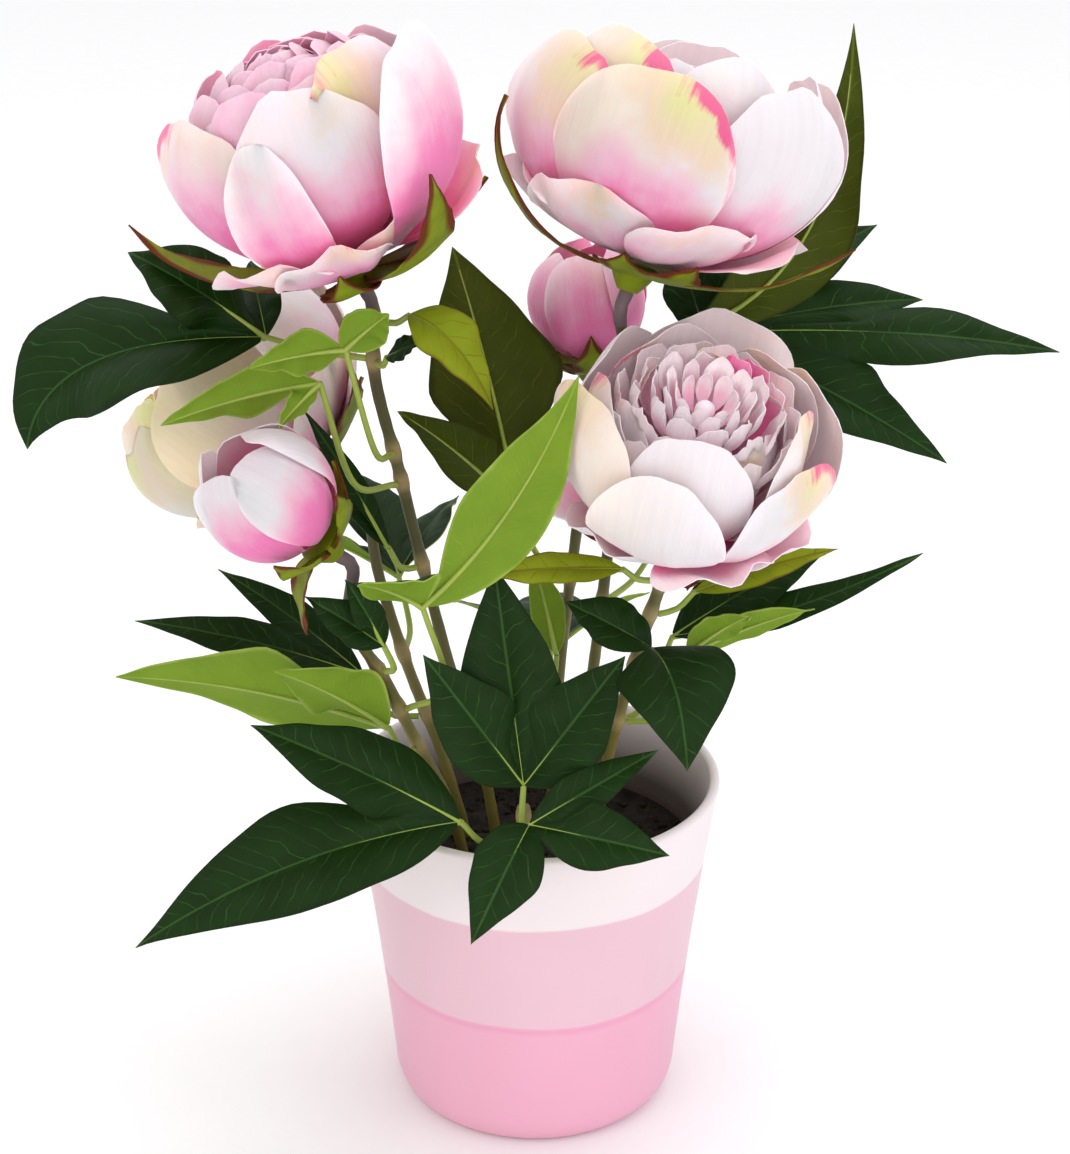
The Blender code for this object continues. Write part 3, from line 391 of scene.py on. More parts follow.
# How each bloom is printed: strength of the pink at the foot, how far up it reaches, cream,
# yellow-green towards the tip, a red-pink brush stroke on the rim, and the side it is on.
TINTS = {
    "a": Tint(1.00, 1.05, 0.25, 0.10, 0.10, 1),
    "b": Tint(0.85, 0.84, 0.30, 0.15, 0.15, 1),
    "c": Tint(0.60, 0.80, 0.10, 0.25, 0.25, 1),
    "d": Tint(0.60, 0.60, 1.60, 0.80, 0.05, -1),
    "e": Tint(1.20, 0.92, 0.05, 0.00, 0.00, 1),
    "f": Tint(1.20, 1.50, 0.30, 0.15, 0.00, 1),
}
GUARD_TINTS = {
    "a": Tint(0.95, 1.30, 0.60, 0.25, 0.30, 1),
    "b": Tint(0.70, 0.90, 0.30, 0.20, 0.10, 1),
    "c": Tint(0.85, 1.00, 0.10, 0.00, 0.10, 1),
    "d": Tint(0.70, 1.00, 1.00, 0.50, 0.10, 1),
}
HEART_TINTS = {
    "a": Tint(0.60, 2.20, 0.05, 0.03, 0.05, 1),
    "b": Tint(0.40, 1.40, 0.10, 0.05, 0.05, 1),
    "c": Tint(0.42, 0.95, 0.00, 0.00, 0.00, 1),
    "d": Tint(0.50, 1.40, 0.60, 0.10, 0.05, 1),
}
# Petals printed otherwise than the rest of their bloom: bloom, ring and petal.
OWN_TINTS = {
    ("a", 1, 2): Tint(1.1, 1.10, 0.90, 0.20, 0.8, -1),
    ("a", 1, 3): Tint(1.0, 1.15, 0.40, 0.00, 0.0, 1),
    ("a", 1, 4): Tint(1.1, 1.05, 0.10, 0.00, 0.0, 1),
    ("a", 2, 3): Tint(0.5, 0.60, 0.30, 0.80, 0.4, -1),
    ("b", 1, 0): Tint(0.9, 0.80, 1.00, 0.90, 1.0, 1),
    ("b", 1, 1): Tint(0.9, 0.70, 0.00, 0.00, 0.0, 1),
    ("b", 1, 5): Tint(0.9, 0.92, 0.40, 0.70, 0.7, 1),
    ("b", 2, 4): Tint(0.3, 0.60, 0.60, 0.90, 1.0, 1),
    ("c", 1, 2): Tint(0.3, 0.60, 1.00, 0.70, 0.3, -1),
    ("c", 1, 3): Tint(0.5, 0.66, 0.50, 0.00, 0.0, 1),
    ("c", 1, 4): Tint(0.9, 0.80, 0.10, 0.60, 0.6, 1),
    ("c", 2, 3): Tint(0.3, 0.60, 0.20, 0.60, 0.5, 1),
    ("c", 5, 9): Tint(0.9, 1.30, 0.00, 0.00, 0.3, 1),
    ("c", 5, 10): Tint(1.1, 1.80, 0.00, 0.00, 0.5, 1),
    ("c", 6, 0): Tint(1.1, 1.80, 0.00, 0.00, 0.6, 1),
    ("d", 1, 0): Tint(0.6, 0.90, 0.60, 0.10, 0.0, 1),
    ("d", 1, 4): Tint(0.3, 0.50, 1.60, 1.00, 0.3, -1),
    ("d", 1, 5): Tint(0.6, 0.70, 1.60, 0.50, 0.0, 1),
}

# Leaves olive on both sides, their light green underside darkened as painted shade, where the others
# are dark above and light green below
SHADED_OLIVE_LEAVES = ("leaf_back_centre", "leaf_beside_bloom")


def smooth(low, high, value):
    """0 at low, 1 at high and smooth between, whichever is the greater"""
    part = min(1.0, max(0.0, (value - low) / (high - low)))
    return part * part * (3 - 2 * part)


def ripple(*place):
    """Soft noise between about -1 and 1"""
    return noise.noise(Vector(place)) * 1.6


def show(name, data):
    """A new object of some data, in the scene"""
    thing = bpy.data.objects.new(name, data)
    bpy.context.scene.collection.objects.link(thing)
    return thing


def mark(mesh, mask, values):
    """Keeps a value at each point of a mesh, which its finish reads"""
    mesh.attributes.new(mask, "FLOAT", "POINT").data.foreach_set("value", values)


def shaped(name, spots, faces, flat, masks):
    """A mesh with each point's place on the flat cloth and its masks"""
    mesh = bpy.data.meshes.new(name)
    mesh.from_pydata(spots, [], faces)
    cloth = mesh.uv_layers.new(name="UVMap")
    for loop in mesh.loops:
        cloth.data[loop.index].uv = flat[loop.vertex_index]
    for mask, values in masks.items():
        mark(mesh, mask, values)
    return mesh


def mesh_of(name, shape):
    """The mesh of a shape under edit, which is then done with"""
    mesh = bpy.data.meshes.new(name)
    shape.to_mesh(mesh)
    shape.free()
    return mesh


class Surface:
    """Thin surfaces gathered for one piece, with what the finish needs to know at each point"""

    def __init__(self, *masks):
        self.spots = []
        self.faces = []
        self.flat = []
        self.masks = {name: [] for name in masks}

    def grid(self, rows):
        """Adds rows of points, each with its place, its place on the flat cloth and its masks"""
        wide = len(rows[0])
        first = len(self.spots)
        for row in rows:
            for spot, flat, masks in row:
                self.spots.append(spot)
                self.flat.append(flat)
                for name, value in zip(self.masks, masks):
                    self.masks[name].append(value)
        for row in range(len(rows) - 1):
            for n in range(wide - 1):
                corner = first + row * wide + n
                self.faces.append((corner, corner + 1, corner + wide + 1, corner + wide))

    def mesh(self, name):
        """All of them as one open mesh"""
        return shaped(name, self.spots, self.faces, self.flat, self.masks)


def place_piece(name, mesh, nodes, finishes):
    """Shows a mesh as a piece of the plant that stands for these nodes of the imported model"""
    piece = show(name, mesh)
    for look in finishes:
        mesh.materials.append(look)
    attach(piece, "root")
    if nodes:
        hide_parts(*nodes)


def settled(draft):
    """The mesh that a draft's modifiers make, smooth between its sharp seams; the draft goes"""
    bpy.context.view_layer.update()
    graph = bpy.context.evaluated_depsgraph_get()
    mesh = bpy.data.meshes.new_from_object(draft.evaluated_get(graph))
    bpy.data.objects.remove(draft)
    mesh.shade_smooth()
    mesh.set_sharp_from_angle(angle=SEAM_ANGLE)
    return mesh


def close_sheet(name, surface, thickness, rim=0):
    """The closed thin solid on a gathered surface: the first finish outside, the next inside"""
    mesh = surface.mesh(name)
    # Empty places for the finishes, which the thickness counts through
    for _ in range(3):
        mesh.materials.append(None)
    shape = bmesh.new()
    shape.from_mesh(mesh)
    bmesh.ops.remove_doubles(shape, verts=shape.verts, dist=WELD)
    bmesh.ops.dissolve_degenerate(shape, edges=shape.edges, dist=WELD)
    shape.to_mesh(mesh)
    shape.free()
    draft = show(name + "_draft", mesh)
    solid = draft.modifiers.new("Thickness", "SOLIDIFY")
    solid.thickness = thickness
    solid.offset = 0
    solid.material_offset = 1
    solid.material_offset_rim = rim
    return settled(draft)


def joined(name, meshes):
    """One mesh of several, with the material places that each already has"""
    shape = bmesh.new()
    for mesh in meshes:
        shape.from_mesh(mesh)
    return mesh_of(name, shape)


def head_frame(head):
    """Scaled, with its origin at the foot of a bloom's petals and Z along its axis"""
    axis = Vector(head.towards) - Vector(head.base)
    turn = Matrix.Rotation(math.radians(head.twist), 4, "Z") @ Matrix.Scale(head.scale, 4)
    return Matrix.Translation(head.base) @ axis.to_track_quat("Z", "Y").to_matrix().to_4x4() @ turn


def rise_at(rise, part):
    """Direction of a petal's middle line, through its three angles"""
    low, middle, high = (math.radians(angle) for angle in rise)
    return (low * (1 - part) * (1 - 2 * part) + middle * 4 * part * (1 - part)
            + high * part * (2 * part - 1))


def middle_line(shape, part, draw):
    """Radius, height and direction of a petal's middle at a part of its length"""
    radius, height = shape.start, shape.height
    step = part * shape.length / MIDLINE_STEPS
    for n in range(MIDLINE_STEPS):
        along = part * (n + 0.5) / MIDLINE_STEPS
        angle = rise_at(shape.rise, along) + draw.lean * along
        radius += step * math.cos(angle)
        height += step * math.sin(angle)
    return radius, height, rise_at(shape.rise, part) + draw.lean * part


def blade_breadth(part):
    """Half width of a leaf or sepal, of 1, that runs out to a point"""
    return max(0.0, math.sin(math.pi * part**0.75)) ** 1.1


def petal_breadth(part):
    """Half width of a petal, of 1, narrow at its foot"""
    return 0.05 + 0.95 * math.sin(min(1.0, part / 0.64) * math.pi / 2) ** 1.25


def petal_point(shape, draw, along, across, lift):
    """A point of a petal that is turned to +X, `lift` off its smooth form"""
    if shape.pointed:
        part = along
        half = shape.width / 2 * blade_breadth(part)
    else:
        part = along * (shape.tip + (1 - shape.tip) * (1 - abs(across) ** 2.2) ** 0.45)
        half = shape.width / 2 * petal_breadth(part)
    half *= draw.size
    radius, height, angle = middle_line(shape, part, draw)
    turn = across * half / shape.cup
    reach = shape.cup - lift
    side = reach * math.sin(turn)
    inward = shape.cup - reach * math.cos(turn)
    tilt = draw.tilt * part**0.6
    side, inward = (side * math.cos(tilt) - inward * math.sin(tilt),
                    side * math.sin(tilt) + inward * math.cos(tilt))
    return Vector((radius - inward * math.sin(angle), side, height + inward * math.cos(angle)))


def petal_rows(ring, shape, draw, place, tint, seed):
    """Rows of a petal's points, ruffled at the rim, with the print of its cloth"""
    table = []
    for row in range(ring.rows + 1):
        along = row / ring.rows
        rim = smooth(0.72, 1, along)
        line = []
        for n in range(ring.columns + 1):
            across = math.sin((n / ring.columns - 0.5) * math.pi)
            bite = ring.notch * abs(math.sin(across * 8 + seed))
            worn = 0.022 * (1 + ripple(across * 2.4, seed, 3.1))
            up = along * (1 - (bite + worn) * rim)
            wave = math.sin(across * 6.5 + seed * 2.1) * along**3
            soft = ripple(across * 1.4, along * 1.7, seed)
            fold = math.exp(-((across - draw.fold) / 0.16) ** 2) * smooth(0.15, 0.5, along)
            lift = ring.ruffle * (wave + 0.5 * soft - 0.6 * fold) + draw.roll * rim * rim
            spot = place @ petal_point(shape, draw, up, across, lift)
            line.append((spot, ((across + 1) / 2, along), petal_print(tint, along, across, seed)))
        table.append(line)
    return table


def petal_print(tint, along, across, seed):
    """Strength of each print at a place on a petal: blush, cream, lime and brush"""
    height = along + 0.07 * ripple(across * 2.2, seed, 0.4)
    blush = tint.blush * (1 - smooth(0.34, tint.reach, height))
    patch = math.exp(-((across - 0.35 * tint.side) / 0.5) ** 2)
    lime = tint.lime * smooth(0.5, 0.92, height) * patch
    shoulder = math.exp(-((across * tint.side - 0.62) / 0.42) ** 2) * smooth(0.62, 0.78, along)
    rim = max(along, abs(across)) + 0.04 * ripple(across * 7, along * 7, seed + 0.9)
    brush = tint.brush * smooth(0.84, 0.98, rim) * shoulder
    cream = tint.cream * smooth(-1.2, 0.6, -across * tint.side)
    return blush, cream, lime, brush


def petal_draw(chance, detail):
    """How one petal differs from its ring: `chance` as in the solids, `detail` for the rest"""
    return Draw(math.radians(chance.uniform(-1.5, 1.5)), chance.uniform(0.95, 1.05),
                math.radians(chance.uniform(-2, 2)), math.radians(chance.uniform(7, 9)),
                detail.uniform(-0.0022, 0.0010), detail.uniform(-0.6, 0.6))


def varied(tint, chance):
    """A bloom's print as one of its petals has it"""
    return Tint(min(1.0, tint.blush * chance.uniform(0.8, 1.1)),
                tint.reach * chance.uniform(0.85, 1.15),
                min(1.0, tint.cream * chance.uniform(0.4, 1.4)),
                min(1.0, tint.lime * chance.uniform(0.0, 2.0)),
                min(1.0, tint.brush * chance.choice((0, 0, 1, 2))),
                tint.side * chance.choice((-1, 1)))


def as_placed(name, level, n, shape, draw):
    """Shape and draw of a petal, or its own ones if it lies otherwise than its ring"""
    if (name, level, n) not in OWN_PETALS:
        return shape, draw
    size, turn, tilt, long, rise = OWN_PETALS[name, level, n]
    return (shape._replace(length=shape.length * long, rise=rise),
            draw._replace(lean=0, size=size, turn=math.radians(turn), tilt=math.radians(tilt)))


def ring_tint(name, head, level):
    """How the petals of a ring are printed; the heart of a domed bloom starts one ring earlier"""
    first_of_heart = 3 if head.rings is DOMED_BLOOM_RINGS else 4
    if head.rings[level] is GUARD:
        return GUARD_TINTS[name]
    return HEART_TINTS[name] if level >= first_of_heart else TINTS[name]


def make_bloom(name, node, head, finishes):
    """Core and petals of one bloom or bud"""
    frame_of_head = head_frame(head)
    chance = random.Random(head.seed)
    detail = random.Random(head.seed + 100)
    surface = Surface("blush", "cream", "lime", "brush")
    for level, ring in enumerate(head.rings):
        under = head.under if ring is GUARD else 0
        tint = ring_tint(name, head, level)
        for n in range(ring.count):
            shape, draw = as_placed(name, level, n, ring.petal, petal_draw(chance, detail))
            turn = math.radians(under + ring.turn + ring.step * n) + draw.turn
            place = frame_of_head @ Matrix.Rotation(turn, 4, "Z")
            # Drawn for every petal, so that one with its own print leaves the others as they are
            dye = varied(tint, detail)
            dye = OWN_TINTS.get((name, level, n), dye)
            surface.grid(petal_rows(ring, shape, draw, place, dye, head.seed + 7 * level + n))
    petals = close_sheet(node, surface, PETAL_THICKNESS)
    wide, tall, middle = head.core
    # The core is smaller than in the solids, so that the petals cover it
    parts = [petals, ball(frame_of_head, middle, wide * CORE_SHARE, tall * CORE_SHARE, tint.blush)]
    if head.rings is OPEN_BLOOM_RINGS:
        parts.append(ball(frame_of_head, HEART_BALL_HEIGHT, HEART_BALL, HEART_BALL, 0))
    place_piece(node + "_petals", joined(node + "_petals", parts), [node], finishes)


def ball(place, height, wide, tall, blush):
    """The foam heart of a bloom, dyed as its petals are"""
    shape = bmesh.new()
    where = place @ Matrix.Translation((0, 0, height)) @ Matrix.Diagonal((wide, wide, tall, 1))
    bmesh.ops.create_uvsphere(shape, u_segments=32, v_segments=20, radius=1, matrix=where)
    mesh = mesh_of("heart", shape)
    mark(mesh, "blush", [blush] * len(mesh.vertices))
    mesh.shade_smooth()
    return mesh


def turned(name, profile, steps):
    """The mesh of a profile of (radius, height) points turned round the Z axis"""
    mesh = bpy.data.meshes.new(name)
    corners = [(radius, 0, height) for radius, height in profile]
    mesh.from_pydata(corners, [(n, n + 1) for n in range(len(corners) - 1)], [])
    draft = show(name + "_draft", mesh)
    screw = draft.modifiers.new("Turn", "SCREW")
    screw.axis = "Z"
    screw.steps = steps
    screw.render_steps = steps
    screw.use_merge_vertices = True
    screw.merge_threshold = 0.00001
    return settled(draft)


def sepal_rows(blade, place, seed):
    """Rows of a sepal's points, jagged at the edges, with the rust of its cloth"""
    table = []
    for row in range(SEPAL_ROWS + 1):
        along = max(0.01, row / SEPAL_ROWS)
        line = []
        for column in range(SEPAL_COLUMNS + 1):
            across = 2 * column / SEPAL_COLUMNS - 1
            jag = 1 + 0.10 * ripple(along * 15, seed, across > 0) * smooth(0.1, 0.3, along)
            lift = (0.0006 * ripple(along * 5, across, seed)
                    + 0.0012 * math.sin(along * 9 + seed) * abs(across) ** 2 * along)
            ragged = Draw(0, 1 + (jag - 1) * abs(across) ** 4, 0, 0)
            spot = place @ petal_point(blade, ragged, along, across, lift)
            rust = smooth(0.55, 1.0, abs(across) + 0.5 * ripple(along * 4, seed, 0.7)
                          + 0.55 * smooth(0.7, 1, along))
            flat = (across * blade.width / 2 * FLAT_UNITS, along * blade.length * FLAT_UNITS)
            line.append((spot, flat, (rust,)))
        table.append(line)
    return table


def make_calyx(name, head, cloth):
    """The green cup under a bloom, with its sepals"""
    frame_of_head = head_frame(head)
    surface = Surface("rust")
    for n, (turn, length, width, rise) in enumerate(head.sepals):
        blade = Petal(length, width, *SEPAL_FOOT, rise, SEPAL_CUP, pointed=True)
        place = frame_of_head @ Matrix.Rotation(math.radians(head.under + turn), 4, "Z")
        surface.grid(sepal_rows(blade, place, head.seed * 3 + n))
    node = "calyx_" + name
    sepals = close_sheet(node, surface, SEPAL_THICKNESS)
    top = -CLEARANCE / head.scale
    profile = [(0, top), (CUP_RADIUS * 0.9, top)]
    for n in range(CUP_STEPS, -1, -1):
        swell = math.sin(n / CUP_STEPS * math.pi / 2)
        profile.append((CUP_NECK_RADIUS + (CUP_RADIUS - CUP_NECK_RADIUS) * swell,
                        min(CUP_DEPTH * (n / CUP_STEPS - 1), top - CUP_SHOULDER)))
    cup = turned("cup_" + name, [*profile, (0, -CUP_DEPTH)], CUP_SIDES)
    cup.transform(frame_of_head)
    place_piece(node + "_sepals", joined(node, [sepals, cup]), [node], [cloth, cloth])


def lobe_rib(base, lobe, up, part):
    """A place on a lobe's middle rib, the way to its right and the way off its upper face"""
    tip = Vector(lobe.tip)
    bend = (base + tip) / 2 + up * lobe.arch * (tip - base).length
    if lobe.via:
        bend = Vector(lobe.via)
    spot = base * (1 - part) ** 2 + bend * 2 * part * (1 - part) + tip * part**2
    forward = ((bend - base) * (1 - part) + (tip - bend) * part).normalized()
    right = forward.cross(up).normalized()
    return spot, right, right.cross(forward)


def bearing(base, lobe, up, ahead):
    """Angle from the way ahead to a lobe's tip, seen from above the leaf"""
    way = Vector(lobe.tip) - base
    return math.atan2(way.dot(ahead.cross(up)), way.dot(ahead))


def lobes_in_order(leaf, base, up):
    """A leaf's lobes from left to right"""
    ahead = sum((Vector(lobe.tip) - base for lobe in leaf.lobes), Vector())
    ahead = (ahead - up * ahead.dot(up)).normalized()
    return sorted(leaf.lobes, key=lambda lobe: bearing(base, lobe, up, ahead))


def lobe_edge(base, lobe, up, part, side, seed):
    """Place on a free edge of a lobe: side is -1 for its left and 1 for its right"""
    spot, right, above = lobe_rib(base, lobe, up, part)
    half = lobe.width / 2 * blade_breadth(part)
    lift = LEAF_FOLD + LEAF_WAVE * math.sin(2 * math.pi * (1.4 * part + 0.25 * side))
    half *= 1 + 0.07 * ripple(part * 5, seed, side)
    flutter = 0.0011 * ripple(part * 7, seed, side + 4) * smooth(0.1, 0.4, part)
    return spot + right * (half * side) + above * (half * lift + flutter)


def leaf_surface(leaf, seed):
    """All lobes of a leaf, joined as far as the leaf says, with veins measured on flat cloth"""
    base, up = Vector(leaf.base), Vector(leaf.up).normalized()
    lobes = lobes_in_order(leaf, base, up)
    surface = Surface("margin")
    parts = [max(0.02, n / LEAF_ROWS) ** LEAF_ROW_BIAS for n in range(LEAF_ROWS + 1)]
    for place, lobe in enumerate(lobes):
        beside = {-1: lobes[place - 1] if place else None,
                  1: lobes[place + 1] if place + 1 < len(lobes) else None}
        table = []
        length = 0
        last = base
        for part in parts:
            rib, _, above = lobe_rib(base, lobe, up, part)
            length += (rib - last).length
            last = rib
            edges = {}
            for side, other in beside.items():
                edges[side] = lobe_edge(base, lobe, up, part, side, seed + place)
                if other:
                    seam = (rib + lobe_rib(base, other, up, part)[0]) / 2
                    parted = smooth(leaf.fused, leaf.fused + 0.25, part)
                    edges[side] = seam.lerp(edges[side], parted)
            line = []
            for n in range(-LEAF_COLUMNS, LEAF_COLUMNS + 1):
                out = abs(n) / LEAF_COLUMNS
                side = 1 if n > 0 else -1
                reach = (edges[side] - rib).length
                puff = above * (reach * LEAF_PUFF * math.sin(math.pi * out))
                flat = (side * out * reach * FLAT_UNITS, length * FLAT_UNITS)
                line.append((rib.lerp(edges[side], out) + puff, flat, (out,)))
            table.append(line)
        surface.grid(table)
    return surface


def smooth_path(route):
    """Points along a smooth curve through the route's points"""
    ends = [2 * route[0] - route[1], *route, 2 * route[-1] - route[-2]]
    path = [route[0]]
    for before, start, end, after in zip(ends, ends[1:], ends[2:], ends[3:]):
        count = max(1, round((end - start).length / PATH_STEP))
        for n in range(1, count + 1):
            part = n / count
            pull_in = (end - before) / 2
            pull_out = (after - start) / 2
            path.append(
                start * (2 * part**3 - 3 * part**2 + 1)
                + pull_in * (part**3 - 2 * part**2 + part)
                + end * (3 * part**2 - 2 * part**3)
                + pull_out * (part**3 - part**2))
    return path


def sweep(name, path, radii, sides, knots=None, place_of_finish=0):
    """A closed round tube along a path, as thick at each point as its radius says"""
    spots, faces, flat = [], [], []
    ahead = (path[1] - path[0]).normalized()
    across = ahead.orthogonal().normalized()
    run = 0
    for n, spot in enumerate(path):
        way = (path[min(n + 1, len(path) - 1)] - path[max(n - 1, 0)]).normalized()
        across = (across - way * across.dot(way)).normalized()
        beside = way.cross(across)
        run += (spot - path[n - 1]).length if n else 0
        for side in range(sides):
            turn = 2 * math.pi * side / sides
            out = across * math.cos(turn) + beside * math.sin(turn)
            spots.append(spot + out * radii[n])
            flat.append((side / sides, run * FLAT_UNITS))
    for n in range(len(path) - 1):
        for side in range(sides):
            corner, turned_one = n * sides + side, n * sides + (side + 1) % sides
            faces.append((corner, turned_one, turned_one + sides, corner + sides))
    faces.append(tuple(range(sides - 1, -1, -1)))
    faces.append(tuple(range(len(spots) - sides, len(spots))))
    masks = {"knot": [knots[n // sides] for n in range(len(spots))]} if knots else {}
    mesh = shaped(name, spots, faces, flat, masks)
    for face in mesh.polygons:
        face.material_index = place_of_finish
    mesh.shade_smooth()
    mesh.set_sharp_from_angle(angle=SEAM_ANGLE)
    return mesh


def stem_path(name):
    """Points along a stem, from the soil's inside to its end or its bloom's cup"""
    route = [Vector(point) for point in STEMS[name]]
    if name in HEADS:
        head = HEADS[name]
        axis = (Vector(head.towards) - Vector(head.base)).normalized()
        top = Vector(head.base) - axis * (CUP_DEPTH * head.scale + CLEARANCE)
        route += [top - axis * STRAIGHT_NECK, top]
    return smooth_path(route)


def height_on(path, height):
    """Place and direction of a stem where it passes a height"""
    for start, end in zip(path, path[1:]):
        if end.z >= height:
            part = (height - start.z) / (end.z - start.z)
            return start.lerp(end, part), (end - start).normalized()
    return path[-1], (path[-1] - path[-2]).normalized()


def stalk_path(leaf, path):
    """From just outside the stem to just under the start of the blade"""
    spot, along = height_on(path, leaf.root)
    base = Vector(leaf.base)
    out = base - spot
    out = (out - along * out.dot(along)).normalized()
    steep = abs((base - spot).normalized().dot(along))
    start = spot + out * (STEM_RADIUS + CLEARANCE + STALK_RADIUS * steep)
    run = base - start
    bend = start + (out * run.length + run) / 4
    return smooth_path([start, bend, base])


def make_stem(name, path, finish_of_stem, finish_of_collar):
    """A moulded stem with a knot where each leaf grows, and a collar under its bloom"""
    roots = [height_on(path, leaf.root)[0] for leaf in LEAVES.values() if leaf.stem == name]
    knots = [max([0.0] + [math.exp(-((spot - root).length / KNOT_REACH) ** 2) for root in roots])
             for spot in path]
    radii = [STEM_RADIUS * (1 + KNOT_SWELL * knot + 0.05 * ripple(n * 0.6, ord(name), 0.3))
             for n, knot in enumerate(knots)]
    mesh = sweep("stem_" + name, path, radii, STEM_SIDES, knots)
    place_piece("stem_" + name + "_moulded", mesh, ["stem_" + name], [finish_of_stem])
    if name in HEADS:
        top = [spot for spot in path if (spot - path[-1]).length < COLLAR_LENGTH]
        radii = [STEM_RADIUS * (1.07 + 0.12 * smooth(0, 1, n / len(top)) + 0.04 * ripple(n, 5.5, 1))
                 for n in range(len(top))]
        collar = sweep("collar_" + name, top, radii, STEM_SIDES)
        place_piece("collar_" + name, collar, [], [finish_of_collar])


def make_leaf(name, leaf, path, seed, finishes):
    """Blade, stalk and the ribs on its underside"""
    pale_side_in_front = leaf.up[1] > 0
    blade = close_sheet(name, leaf_surface(leaf, seed), LEAF_THICKNESS, int(pale_side_in_front))
    base, up = Vector(leaf.base), Vector(leaf.up).normalized()
    stalk = stalk_path(leaf, path)
    radii = [STALK_RADIUS * (1.12 - 0.2 * n / len(stalk)) for n in range(len(stalk))]
    parts = [blade, sweep(name + "_stalk", stalk, radii, STALK_SIDES, place_of_finish=2)]
    for n, lobe in enumerate(leaf.lobes):
        ribs = []
        for step in range(RIB_STEPS + 1):
            part = RIB_END * step / RIB_STEPS
            spot, _, above = lobe_rib(base, lobe, up, part)
            thick = STALK_RADIUS * (0.85 * (1 - part) ** 1.3 + 0.12)
            ribs.append((spot - above * thick * 0.55, thick))
        parts.append(sweep(f"{name}_rib_{n}", [spot for spot, thick in ribs],
                           [thick for spot, thick in ribs], STALK_SIDES, place_of_finish=2))
    place_piece(name + "_cloth", joined(name + "_cloth", parts), [name], finishes)


def pot_radius(height):
    """Outer radius of the pot at a height"""
    return POT_FOOT_RADIUS + POT_TAPER * height + POT_FLARE * height * height


def quarter_round(radius, height, across, down, steps):
    """Points from a wall at (radius, height) in to a floor, round an elliptic corner"""
    turns = [n / steps * math.pi / 2 for n in range(1, steps + 1)]
    return [(radius - across * (1 - math.cos(turn)), height - down * math.sin(turn))
            for turn in turns]


def inner_profile(inset, top):
    """The hollow of the pot from a height down to its middle, `inset` inside the wall"""
    levels = [top + (HOLLOW_LOW - top) * n / HOLLOW_STEPS for n in range(HOLLOW_STEPS + 1)]
    points = [(pot_radius(level) - POT_WALL - inset, level) for level in levels]
    radius, height = points[-1]
    floor = POT_FLOOR + inset
    corner = quarter_round(radius, height, POT_FOOT_INSET, height - floor, HOLLOW_CORNER_STEPS)
    return [*points, *corner, (0, floor)]


def make_pot(glaze):
    """The thrown pot: its hollow, lip, wall and foot in one profile"""
    lip = POT_WALL / 2
    shoulder = POT_HEIGHT - lip
    middle = pot_radius(POT_HEIGHT) - lip
    turns = [math.pi * (1 - n / LIP_STEPS) for n in range(LIP_STEPS + 1)]
    rim = [(middle + lip * math.cos(turn), shoulder + lip * math.sin(turn)) for turn in turns]
    levels = [shoulder + (POT_FOOT_HEIGHT - shoulder) * n / WALL_STEPS
              for n in range(1, WALL_STEPS + 1)]
    wall = [(pot_radius(level), level) for level in levels]
    foot = quarter_round(*wall[-1], POT_FOOT_INSET, POT_FOOT_HEIGHT, FOOT_STEPS)
    hollow = inner_profile(0, HOLLOW_TOP)[::-1]
    mesh = turned("pot_thrown", [*hollow, *rim, *wall, *foot, (0, 0)], POT_SIDES)
    # Inside is what lies more than 0.6 of the wall's thickness in from its outer face
    inside = [float(corner.co.z > POT_FOOT_HEIGHT
                    and corner.co.xy.length < pot_radius(corner.co.z) - 0.6 * POT_WALL)
              for corner in mesh.vertices]
    mark(mesh, "inside", inside)
    place_piece("pot_thrown", mesh, ["pot"], [glaze])


def make_soil(crumb):
    """Lumpy filler with loose crumbs pressed into its top"""
    top = POT_HEIGHT - SOIL_BELOW_RIM
    side = inner_profile(CLEARANCE, top - SOIL_LUMP)
    edge = side[0][0]
    mound = [(edge * n / SOIL_RINGS, top - SOIL_LUMP + SOIL_MOUND * (1 - (n / SOIL_RINGS) ** 2))
             for n in range(SOIL_RINGS)]
    mesh = turned("soil_body", mound + side, POT_SIDES)
    # Lumps about 6 mm across, with smaller ones of 2 mm on them
    for corner in mesh.vertices:
        x, y, z = corner.co
        if z > top - 2 * SOIL_LUMP and math.hypot(x, y) < edge * 0.995:
            corner.co.z += SOIL_LUMP * (ripple(x * 170, y * 170, 1) + 0.5 * ripple(x * 420, y * 420, 2))
    chance = random.Random(CRUMB_SEED)
    crumbs = []
    for _ in range(CRUMBS):
        reach = edge * 0.96 * math.sqrt(chance.random())
        turn = chance.uniform(0, 2 * math.pi)
        size = chance.uniform(*CRUMB_SIZES)
        shape = bmesh.new()
        height = top - SOIL_LUMP + SOIL_MOUND * (1 - (reach / edge) ** 2) + size * 0.2
        place = Matrix.Translation((reach * math.cos(turn), reach * math.sin(turn), height))
        squeeze = Matrix.Diagonal((size, size * chance.uniform(0.6, 1), size * 0.7, 1))
        spin = Matrix.Rotation(chance.uniform(0, 6), 4, "Z")
        bmesh.ops.create_icosphere(shape, subdivisions=1, radius=1, matrix=place @ spin @ squeeze)
        for corner in shape.verts:
            corner.co += Vector((chance.uniform(-1, 1), chance.uniform(-1, 1), 0)) * size * 0.18
        crumbs.append(mesh_of("crumb", shape))
    place_piece("soil_crumbled", joined("soil_crumbled", [mesh, *crumbs]), ["soil"], [crumb])


def colour(code):
    """Linear colour of a hex sRGB code"""
    parts = [int(code[n:n + 2], 16) / 255 for n in (1, 3, 5)]
    line = [part / 12.92 if part <= 0.04045 else ((part + 0.055) / 1.055) ** 2.4 for part in parts]
    return (*line, 1)


